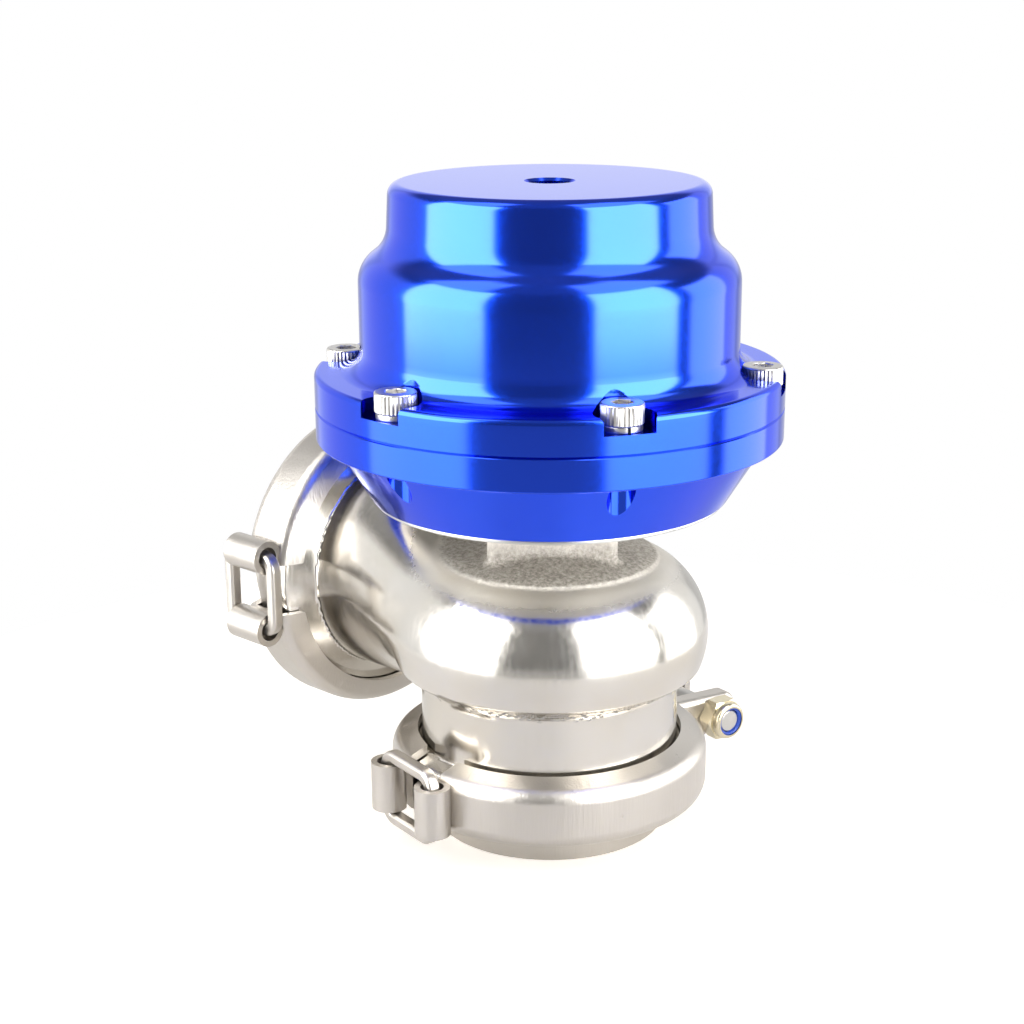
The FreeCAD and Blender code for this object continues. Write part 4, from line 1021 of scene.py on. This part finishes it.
def net_over(distance, low, high, step, fine, fine_low, fine_high):
    """Quads over the zero surface of a distance.

    A grid covers the box, with its layers closer together between two heights. Each cell that the
    surface crosses gets one point, each grid edge that it crosses gets the quad of the four cells round
    it, and the points are then moved along the slope until their distance is zero.
    """
    axes = [np.arange(a - step, b + 2 * step, step) for a, b in zip(low[:2], high[:2])]
    axes.append(np.concatenate([
        np.arange(low[2] - step, fine_low, step), np.arange(fine_low, fine_high, fine),
        np.arange(fine_high, high[2] + 2 * step, step),
    ]))
    nodes = np.stack(np.meshgrid(*axes, indexing="ij"), axis=-1)
    inside = distance(nodes) < 0
    across, deep, high_up = (n - 1 for n in inside.shape)
    counts = np.zeros((across, deep, high_up), dtype=int)
    for i, j, k in np.ndindex(2, 2, 2):
        counts += inside[i:across + i, j:deep + j, k:high_up + k]
    corners = 8
    crossed = (counts > 0) & (counts < corners)
    number = np.full(crossed.shape, -1)
    number[crossed] = np.arange(int(crossed.sum()))
    points = nodes[:-1, :-1, :-1][crossed] + step / 2
    rounds, least_slope = 6, 0.2
    for _ in range(rounds):
        slope = distance.slope(points)
        away = distance(points) / np.maximum((slope ** 2).sum(-1), least_slope)
        points = points - np.clip(away, -step, step)[:, None] * slope
    quads = []
    for axis in range(3):
        a = np.take(inside, range(inside.shape[axis] - 1), axis=axis)
        b = np.take(inside, range(1, inside.shape[axis]), axis=axis)
        edges = np.argwhere(a != b)
        first, second = [(1, 2), (2, 0), (0, 1)][axis]
        ring = []
        for du, dv in ((0, 0), (-1, 0), (-1, -1), (0, -1)):
            cell = edges.copy()
            cell[:, first] += du
            cell[:, second] += dv
            ring.append(number[cell[:, 0], cell[:, 1], cell[:, 2]])
        ring = np.stack(ring, axis=1)
        leaving = a[tuple(edges.T)]
        ring[~leaving] = ring[~leaving][:, ::-1]
        quads.append(ring)
    return points, np.concatenate(quads)


class WASTEGATE_OT_body(bpy.types.Operator):
    """Cast valve body: neck, cove, bulb, outlet pipe, column with posts, and its hollow"""

    bl_idname = "wastegate.body"
    bl_label = "Valve body"

    def execute(self, context):
        s = settings("body")
        casting = Casting(s, settings("clamp"))
        points, quads = net_over(
            casting, BODY_LOW, BODY_HIGH, s.grid, s.fine_grid, s.fine_low, s.fine_high
        )
        points = np.clip(points, np.array(BODY_LOW), np.array(BODY_HIGH))
        mesh = new_mesh("casting", points, quads.tolist())
        mesh.shade_smooth()
        slope = casting.slope(points, s.grid / 3)
        slope /= np.maximum(np.linalg.norm(slope, axis=1), 1e-9)[:, None]
        mesh.normals_split_custom_set_from_vertices(slope.tolist())
        piece("body_casting", mesh, "polished_stainless", "root", ["valve_body"], sharp=None, even=False)
        return {"FINISHED"}


# Plate, weld flanges and clamps

def from_node(node):
    """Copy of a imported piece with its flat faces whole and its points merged."""
    work = bmesh.new()
    work.from_mesh(frame["nodes"][node].data)
    bmesh.ops.remove_doubles(work, verts=work.verts, dist=SAME_POINT)
    bmesh.ops.dissolve_limit(work, angle_limit=math.radians(0.5), verts=work.verts, edges=work.edges)
    mesh = bpy.data.meshes.new(node + "_copy")
    work.to_mesh(mesh)
    work.free()
    return mesh


def turned_normals(mesh, place, within, centre, flank):
    """Smooth normals round an axis for a band that is turned about it, and over the crown's two rounds.

    A face belongs to the band when it lies within a radius and its normal has no part along the turn.
    The normal at each of its corners keeps the face's slope and points out from the axis at that corner.
    On a round, which is steeper than the flank, centre gives the arc's middle as radius and height, and the
    normal points away from it.
    """
    back = np.array(place.inverted())
    turn, shift = back[:3, :3], back[:3, 3]

    def read(items, field, size, kind=np.float32):
        values = np.empty(len(items) * size, dtype=kind)
        items.foreach_get(field, values)
        return values.reshape(-1, size) if size > 1 else values

    points = read(mesh.vertices, "co", 3) @ turn.T + shift
    corner = read(mesh.loops, "vertex_index", 1, np.int32)
    face = np.repeat(np.arange(len(mesh.polygons)), read(mesh.polygons, "loop_total", 1, np.int32))
    slope = (read(mesh.polygons, "normal", 3) @ turn.T)[face]
    middle = (read(mesh.polygons, "center", 3) @ turn.T + shift)[face]
    normals = read(mesh.corner_normals, "vector", 3) @ turn.T
    here = points[corner]
    out = here[:, :2] / np.linalg.norm(here[:, :2], axis=1, keepdims=True)
    middle_r = np.linalg.norm(middle[:, :2], axis=1)
    middle_out = middle[:, :2] / middle_r[:, None]
    along = slope[:, 1] * middle_out[:, 0] - slope[:, 0] * middle_out[:, 1]
    steep = np.hypot(slope[:, 0], slope[:, 1]) * np.sign((slope[:, :2] * middle_out).sum(axis=1))
    height = slope[:, 2].copy()
    furthest = np.zeros(len(mesh.polygons))
    np.maximum.at(furthest, face, np.linalg.norm(here[:, :2], axis=1))
    no_turn = 0.07
    banded = (np.abs(along) < no_turn) & (furthest[face] < within)
    on_round = banded & (steep > flank) & (np.abs(middle[:, 2]) > centre[1])
    from_r = np.linalg.norm(here[:, :2], axis=1) - centre[0]
    from_z = here[:, 2] - np.sign(middle[:, 2]) * centre[1]
    steep = np.where(on_round, from_r, steep)
    height = np.where(on_round, from_z, height)
    made = np.concatenate([out * steep[:, None], height[:, None]], axis=1)
    made /= np.maximum(np.linalg.norm(made, axis=1, keepdims=True), 1e-9)
    normals = np.where(banded[:, None], made, normals)
    mesh.normals_split_custom_set((normals @ turn).tolist())


def pressed_piece(name, node, slot, body, bevel, cutter=None):
    """A piece made from a packed one, cut if asked, with a small round on its edges."""
    mesh = from_node(node)
    if cutter is not None:
        mesh = carved(mesh, cutter)
    return piece(name, mesh, slot, body, [node], bevel=bevel)


class WASTEGATE_OT_plate(bpy.types.Operator):
    """Heat plate between housing and casting, and both weld flanges"""

    bl_idname = "wastegate.plate"
    bl_label = "Heat plate and weld flanges"

    def execute(self, context):
        low, high, rim = PLATE_LOW.z, PLATE_HIGH.z, PLATE_HIGH.x
        guide_r, edge = settings("body").guide_r, 0.25 * MM
        outline = rounded([
            (guide_r, low), (rim, low, edge), (rim, high, edge), (guide_r, high),
        ], closed=True, steps=5)
        plate = grid_mesh("plate", revolved(outline, 256), wrap_rows=True)
        piece("heat_plate_disc", plate, "plate_steel", "root", ["heat_plate"])
        broken_edge = 0.2 * MM
        for side in ("inlet", "outlet"):
            pressed_piece(side + "_weld_ring", side + "_weld_flange", "satin_stainless", "root", broken_edge)
        return {"FINISHED"}


class WASTEGATE_OT_clamps(bpy.types.Operator):
    """Both band clamps: two halves and a square-wire link each"""

    bl_idname = "wastegate.clamps"
    bl_label = "Band clamps"

    def execute(self, context):
        c = settings("clamp")
        corner_z = c.lip_half - (c.crown_r - c.lip_r) * math.tan(c.v_angle)
        reach = c.crown_round / math.tan(math.pi / 4 + c.v_angle / 2)
        # The cutter is what lies outside the crown's round, and stands a little proud of the band. What is
        # a little steeper than the flank belongs to the round
        proud, steeper = 0.03 * MM, 0.03
        outer = rounded([
            (c.crown_r, corner_z - 2 * reach),
            (c.crown_r, corner_z, c.crown_round),
            (c.crown_r - 2 * reach * math.cos(c.v_angle), corner_z + 2 * reach * math.sin(c.v_angle)),
        ], steps=9)[1:-1]
        corner = (c.crown_r + proud, corner_z + proud)
        chip = np.array([(corner[0], outer[0, 1]), *outer, outer[-1] + proud, corner])
        rings = [
            grid_mesh("ring", revolved(chip * (1.0, turned), 360), wrap_rows=True) for turned in (1.0, -1.0)
        ]
        for side, swinging in (("inlet", "b"), ("outlet", "a")):
            place = closure_place(side)
            for half in ("a", "b"):
                body = side + "_half" if half == swinging else "root"
                band = pressed_piece(
                    f"{side}_band_{half}", f"{side}_clamp_half_{half}", "satin_stainless", body,
                    c.edge_bevel, joined("rings", rings, [place]),
                )
                context.view_layer.update()
                whole = band.evaluated_get(context.evaluated_depsgraph_get())
                band.data = bpy.data.meshes.new_from_object(whole)
                band.modifiers.clear()
                turned_normals(
                    band.data, place, corner[0], (c.crown_r - c.crown_round, corner_z - reach),
                    math.sin(c.v_angle) + steeper,
                )
            pressed_piece(
                side + "_hinge_link", side + "_clamp_link", "satin_stainless", side + "_link", c.edge_bevel
            )
        return {"FINISHED"}


def closure_place(side):
    """From a clamp's own axes, closure on +X and bolt along Y, to the object's."""
    if side == "inlet":
        joint, turn = Vector((0.0, 0.0, INLET_JOINT_Z)), Matrix.Rotation(settings("clamp").closure, 4, "Z")
    else:
        joint = Vector((OUTLET_JOINT_X, 0.0, OUTLET_AXIS_Z))
        turn = Matrix(((0.0, 0.0, -1.0), (1.0, 0.0, 0.0), (0.0, -1.0, 0.0))).to_4x4()
    return Matrix.Translation(joint) @ turn


def lock_nut(c):
    """Hexagon nut with chamfered corners, a rounded collar and a well for its nylon ring."""
    t = directions(96)
    flat = c.nut_af / 2
    # The chamfer starts just outside the flats, and the base is a little narrower than they are
    chamfer_r, base_r = flat * 1.02, flat * 0.97
    hexagon = hexagon_reach(c.nut_af, t)
    narrow = np.minimum(hexagon, chamfer_r)
    drop = (hexagon - narrow) * math.tan(c.nut_chamfer)
    well_r, well_z = c.ring_r + 0.05 * MM, c.nut_h - c.ring_h - c.ring_sink
    collar = rounded([
        (c.collar_r, c.nut_hex_h),
        (c.collar_r, c.nut_h, c.collar_round),
        (well_r, c.nut_h, 0.15 * MM),
        (well_r, well_z),
        (c.bolt_r, well_z),
    ], steps=8)
    rows = [
        (c.bolt_r, 0.0),
        (base_r, 0.0),
        (narrow, 0.0),
        (hexagon, drop),
        (hexagon, c.nut_hex_h - drop - 0.02 * MM),
        (narrow, c.nut_hex_h),
        *collar,
    ]
    r, z = (np.concatenate([np.broadcast_to(row[i], t.shape) for row in rows]) for i in (0, 1))
    return grid_mesh("nut", around(r, z, t), wrap_rows=True)


def nylon_ring(c):
    """Ring that lies in the nut's well, its upper edges rounded."""
    top = c.nut_h - c.ring_sink
    outline = rounded([
        (c.bolt_r, top - c.ring_h),
        (c.ring_r, top - c.ring_h),
        (c.ring_r, top, 0.2 * MM),
        (c.bolt_r, top, 0.3 * MM),
    ], closed=True, steps=6)
    return grid_mesh("ring", revolved(outline, 72), wrap_rows=True)


class WASTEGATE_OT_clamp_fasteners(bpy.types.Operator):
    """Clamp bolts, lock nuts and the nylon rings in the nuts"""

    bl_idname = "wastegate.clamp_fasteners"
    bl_label = "Clamp bolts and nuts"

    def execute(self, context):
        c = settings("clamp")
        nut, ring, broken_edge = lock_nut(c), nylon_ring(c), 0.12 * MM
        for side in ("inlet", "outlet"):
            place = closure_place(side) @ Matrix.Translation((c.bolt_at, -c.nut_face, 0.0))
            place = place @ Matrix.Rotation(math.pi / 2, 4, "X")
            body = side + "_nut"
            piece(side + "_lock_nut", joined("nut", [nut], [place]), "nut_plating", body,
                  [side + "_clamp_nut"], sharp=NUT_SHARP)
            piece(side + "_nylon_ring", joined("ring", [ring], [place]), "blue_nylon", body,
                  [side + "_nut_insert"])
            pressed_piece(
                side + "_bolt_hex", side + "_clamp_bolt", "plated_steel", side + "_bolt", broken_edge
            )
        return {"FINISHED"}


# Inner pieces

def coil_spring(name, mean, wire, turns):
    """Wire of radius wire carried round at the mean radius, its end turns closed.

    Its centre climbs by the wire's diameter per turn in the first and last three quarters of a turn, and
    evenly between them.
    """
    steps_per_turn, closed_turns = 48, 0.75
    low, high = SPRING_LOW.z, SPRING_HIGH.z
    along = np.linspace(0.0, 1.0, int(turns * steps_per_turn) + 1)
    closed_end = closed_turns / turns
    lead = wire * 2.0 * closed_end * turns
    rise = np.clip((along - closed_end) / (1.0 - 2 * closed_end), 0.0, 1.0)
    z = low + wire + lead * np.minimum(along / closed_end, 1.0)
    z = z + (high - low - 2 * wire - 2 * lead) * rise
    z = z + lead * np.clip((along - 1.0 + closed_end) / closed_end, 0.0, 1.0)
    u, v = arc((0.0, 0.0), wire, 0.0, TURN, 17)[:-1].T[:, None, :]
    return grid_mesh(name, around(mean + u, z[:, None] + v, (along * turns * TURN)[:, None]), capped=True)


class WASTEGATE_OT_springs(bpy.types.Operator):
    """Two coil springs and the diaphragm"""

    bl_idname = "wastegate.springs"
    bl_label = "Springs and diaphragm"

    def execute(self, context):
        s = settings("springs")
        for name, node, mean, wire, turns in (
            ("outer_coil", "outer_spring", s.outer_r, s.outer_wire, s.outer_turns),
            ("inner_coil", "inner_spring", s.inner_r, s.inner_wire, s.inner_turns),
        ):
            coil = coil_spring(name, mean, wire, turns)
            made = piece(name, coil, "spring_steel", "root", [node], sharp=COIL_SHARP, even=False)
            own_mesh(made)
        cloth = piece("diaphragm_cloth", from_node("diaphragm"), "diaphragm_rubber", "", ["diaphragm"],
                      sharp=COIL_SHARP, even=False)
        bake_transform(cloth)
        return {"FINISHED"}


class WASTEGATE_OT_inner(bpy.types.Operator):
    """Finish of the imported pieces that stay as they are"""

    bl_idname = "wastegate.inner"
    bl_label = "Inner pieces"

    def execute(self, context):
        slots = {part["node"]: part["material_slot"] for part in frame["record"]["subparts"]}
        for name, node in frame["nodes"].items():
            node.data.materials.clear()
            node.data.materials.append(material(slots[name]))
        return {"FINISHED"}


# Stage

def look_matrix(place, heading, pitch, roll):
    """Camera matrix from a place, a compass heading, a downward pitch and a roll."""
    flat = math.cos(pitch)
    ahead = Vector((math.cos(heading) * flat, math.sin(heading) * flat, -math.sin(pitch)))
    right = Vector((math.sin(heading), -math.cos(heading), 0.0))
    up = right.cross(ahead)
    side = right * math.cos(roll) + up * math.sin(roll)
    top = up * math.cos(roll) - right * math.sin(roll)
    made = Matrix((side, top, -ahead)).transposed().to_4x4()
    made.translation = place
    return made


def smooth_box(value, low, high, edge):
    """1 between low and high, 0 outside, with smooth steps of a given width centred on both ends."""
    up = np.clip((value - low) / edge + 0.5, 0.0, 1.0)
    down = np.clip((high - value) / edge + 0.5, 0.0, 1.0)
    return up * up * (3.0 - 2.0 * up) * down * down * (3.0 - 2.0 * down)


def glowing(mesh, values):
    """Give a mesh its brightness, a number at each point."""
    mesh.attributes.new("glow", "FLOAT", "POINT").data.foreach_set("value", values.ravel().astype(np.float32))


def light_tent(s, bearing):
    """Tent of soft boxes and dark gaps that only reflections see.

    Its points lie on a sphere round the object, and its brightness is a mix of patches, each between
    two bearings from the camera and two heights in degrees, with a brightness and soft edges.
    """
    step = 1.5
    across, height = np.meshgrid(np.arange(-180.0, 180.0, step), np.arange(-50.0, 90.1, step))
    glow = np.full(across.shape, s.tent_dim)
    floor_glow, box_top, under = 0.34 * s.box_light, s.box_light / 3, s.room * 0.7
    for left, right, low, high, light, edge in (
        (-180.0, 180.0, 46.0, 110.0, s.tent_ceiling, 16.0),
        (-152.0, -92.0, -90.0, 34.0, s.tent_wall, 12.0),
        (-38.0, 24.0, -90.0, -10.0, 2 * s.tent_dim, 5.0),
        (-92.0, -38.0, -90.0, -9.0, floor_glow, 4.0),
        (-92.0, -38.0, -9.0, 46.0, s.box_light, 4.0),
        (-100.0, -46.0, 46.0, 74.0, box_top, 8.0),
        (24.0, 76.0, -90.0, -9.0, floor_glow, 4.0),
        (24.0, 76.0, -9.0, 46.0, s.box_light, 4.0),
        (24.0, 96.0, 46.0, 74.0, box_top, 8.0),
        (86.0, 122.0, -90.0, 30.0, s.tent_screen, 5.0),
        (122.0, 142.0, -90.0, 32.0, s.tent_wall, 6.0),
        (-210.0, -152.0, 0.0, 36.0, s.tent_back, 12.0),
        (142.0, 210.0, 0.0, 36.0, s.tent_back, 12.0),
        (-210.0, -152.0, -90.0, 0.0, under, 12.0),
        (142.0, 210.0, -90.0, 0.0, under, 12.0),
    ):
        patch = smooth_box(across, left, right, edge) * smooth_box(height, low, high, edge)
        glow = glow + patch * (light - glow)
    up = np.radians(height)
    points = around(s.tent_r * np.cos(up), COVER_LOW.z + s.tent_r * np.sin(up), np.radians(across) + bearing)
    mesh = new_mesh("light_tent", points, grid_quads(*across.shape).tolist())
    glowing(mesh, glow)
    made = placed("light_tent", mesh)
    for ray in ("visible_camera", "visible_diffuse", "visible_shadow", "visible_transmission"):
        setattr(made, ray, False)
    paint = bpy.data.materials.new("light_tent")
    tree = emptied(paint)
    light = add_node(tree, "Attribute", attribute_name="glow")["Fac"]
    add_node(tree, "OutputMaterial", {"Surface": add_node(tree, "Emission", {"Strength": light})["Emission"]})
    mesh.materials.append(paint)


def soft_box(s, name, bearing):
    """Square area light, aimed at the housing, that lights matt surfaces only."""
    out, height, size = 0.8, 0.5, 0.6
    light = bpy.data.lights.new(name, "AREA")
    light.size = size
    light.energy = s.lamp * math.pi * size * size
    made = placed(name, light)
    at = Vector((math.cos(bearing) * out, math.sin(bearing) * out, height))
    aim = (at - Vector((0.0, 0.0, COVER_LOW.z))).to_track_quat("Z", "Y")
    made.matrix_world = Matrix.Translation(at) @ aim.to_matrix().to_4x4()
    made.visible_camera = False
    made.visible_glossy = False


def pale_floor(s, bearing):
    """Round matt floor; only the camera and reflections see its own light, brighter by the soft boxes."""
    below = -0.1 * MM
    ring = revolved(np.array([(0.5 * MM, below), (s.floor_r, below)]), 128)
    mesh = grid_mesh("floor", ring)
    across = (np.degrees(np.arctan2(ring[..., 1], ring[..., 0]) - bearing) + 180.0) % 360.0 - 180.0
    left_box = 0.55 * smooth_box(across, -116.0, -44.0, 28.0)
    right_box = 0.65 * smooth_box(across, 10.0, 112.0, 28.0)
    glowing(mesh, 1.0 + (left_box + right_box))
    floor = placed("floor", mesh)
    paint, tree, place = started("pale_floor")
    ray = add_node(tree, "LightPath")
    dust = add_node(tree, "TexNoise", {"Vector": place, "Scale": 30.0})
    tone = add_node(tree, "MapRange", {"Value": dust["Fac"], "To Min": 0.86, "To Max": 0.9})
    matt = add_node(tree, "BsdfDiffuse", {"Color": tone["Result"]})
    lift = add_node(tree, "Math", {0: ray["Is Camera Ray"], 1: s.floor_lift}, operation="MULTIPLY")
    glossy = add_node(tree, "Math", {0: ray["Is Glossy Ray"], 1: s.floor_gloss}, operation="MULTIPLY")
    patches = add_node(tree, "Attribute", attribute_name="glow")
    lift = add_node(tree, "Math", {
        0: glossy["Value"], 1: patches["Fac"], 2: lift["Value"],
    }, operation="MULTIPLY_ADD")
    glow = add_node(tree, "Emission", {"Color": rgba(s.floor_warm), "Strength": lift["Value"]})
    both = add_node(tree, "AddShader", {0: matt["BSDF"], 1: glow["Emission"]})
    add_node(tree, "OutputMaterial", {"Surface": both["Shader"]})
    mesh.materials.append(paint)


def white_room(s):
    """World that is white to the camera, in reflections and through glass, and a little dimmer as light."""
    world = bpy.data.worlds.new("white_room")
    bpy.context.scene.world = world
    tree = emptied(world)
    ray = add_node(tree, "LightPath")
    seen = ray["Is Camera Ray"]
    for kind in ("Is Glossy Ray", "Is Transmission Ray"):
        seen = add_node(tree, "Math", {0: seen, 1: ray[kind]}, operation="MAXIMUM")["Value"]
    level = add_node(tree, "MapRange", {"Value": seen, "To Min": 0.8, "To Max": s.room})
    room = add_node(tree, "Background", {"Color": (1.0, 1.0, 1.0, 1.0), "Strength": level["Result"]})
    add_node(tree, "OutputWorld", {"Surface": room["Background"]})


class WASTEGATE_OT_stage(bpy.types.Operator):
    """Pale floor, white room, soft boxes and the camera"""

    bl_idname = "wastegate.stage"
    bl_label = "Stage"

    def execute(self, context):
        s = settings("stage")
        scene = context.scene
        scene.view_settings.view_transform = "Standard"
        camera = placed("camera", bpy.data.cameras.new("camera"))
        camera.data.lens = s.lens
        camera.data.sensor_width = 36.0
        camera.data.clip_start = 0.01
        camera.matrix_world = look_matrix(Vector(s.camera_at), s.heading, s.pitch, s.roll)
        scene.camera = camera
        bearing = s.heading - math.pi
        white_room(s)
        pale_floor(s, bearing)
        light_tent(s, bearing)
        soft_box(s, "left_soft_box", bearing - math.radians(65))
        soft_box(s, "right_soft_box", bearing + math.radians(45))
        return {"FINISHED"}


class WASTEGATE_PT_panel(bpy.types.Panel):
    """Buttons for every group of pieces"""

    bl_idname = "WASTEGATE_PT_panel"
    bl_label = "Wastegate"
    bl_space_type = "VIEW_3D"
    bl_region_type = "UI"
    bl_category = "Wastegate"

    def draw(self, context):
        for operator in OPERATORS:
            self.layout.operator(operator.bl_idname, text=operator.bl_label)


GROUPS = {
    "cover": CoverSizes,
    "housing": HousingSizes,
    "fasteners": FastenerSizes,
    "body": BodySizes,
    "clamp": ClampSizes,
    "springs": SpringSizes,
    "finishes": Finishes,
    "stage": StageSettings,
}
OPERATORS = (
    WASTEGATE_OT_inner,
    WASTEGATE_OT_cover,
    WASTEGATE_OT_housing,
    WASTEGATE_OT_cover_fasteners,
    WASTEGATE_OT_body,
    WASTEGATE_OT_plate,
    WASTEGATE_OT_clamps,
    WASTEGATE_OT_clamp_fasteners,
    WASTEGATE_OT_springs,
    WASTEGATE_OT_stage,
)


def register():
    for name, group in GROUPS.items():
        bpy.utils.register_class(group)
        setattr(bpy.types.Scene, "wastegate_" + name, PointerProperty(type=group))
    for operator in OPERATORS:
        bpy.utils.register_class(operator)
    bpy.utils.register_class(WASTEGATE_PT_panel)


def unregister():
    bpy.utils.unregister_class(WASTEGATE_PT_panel)
    for operator in reversed(OPERATORS):
        bpy.utils.unregister_class(operator)
    for name, group in reversed(GROUPS.items()):
        delattr(bpy.types.Scene, "wastegate_" + name)
        bpy.utils.unregister_class(group)


def main():
    """Make every piece."""
    register()
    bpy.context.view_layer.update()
    for operator in OPERATORS:
        group, name = operator.bl_idname.split(".")
        getattr(getattr(bpy.ops, group), name)()
    bpy.context.view_layer.update()


if __name__ == "__main__":
    main()
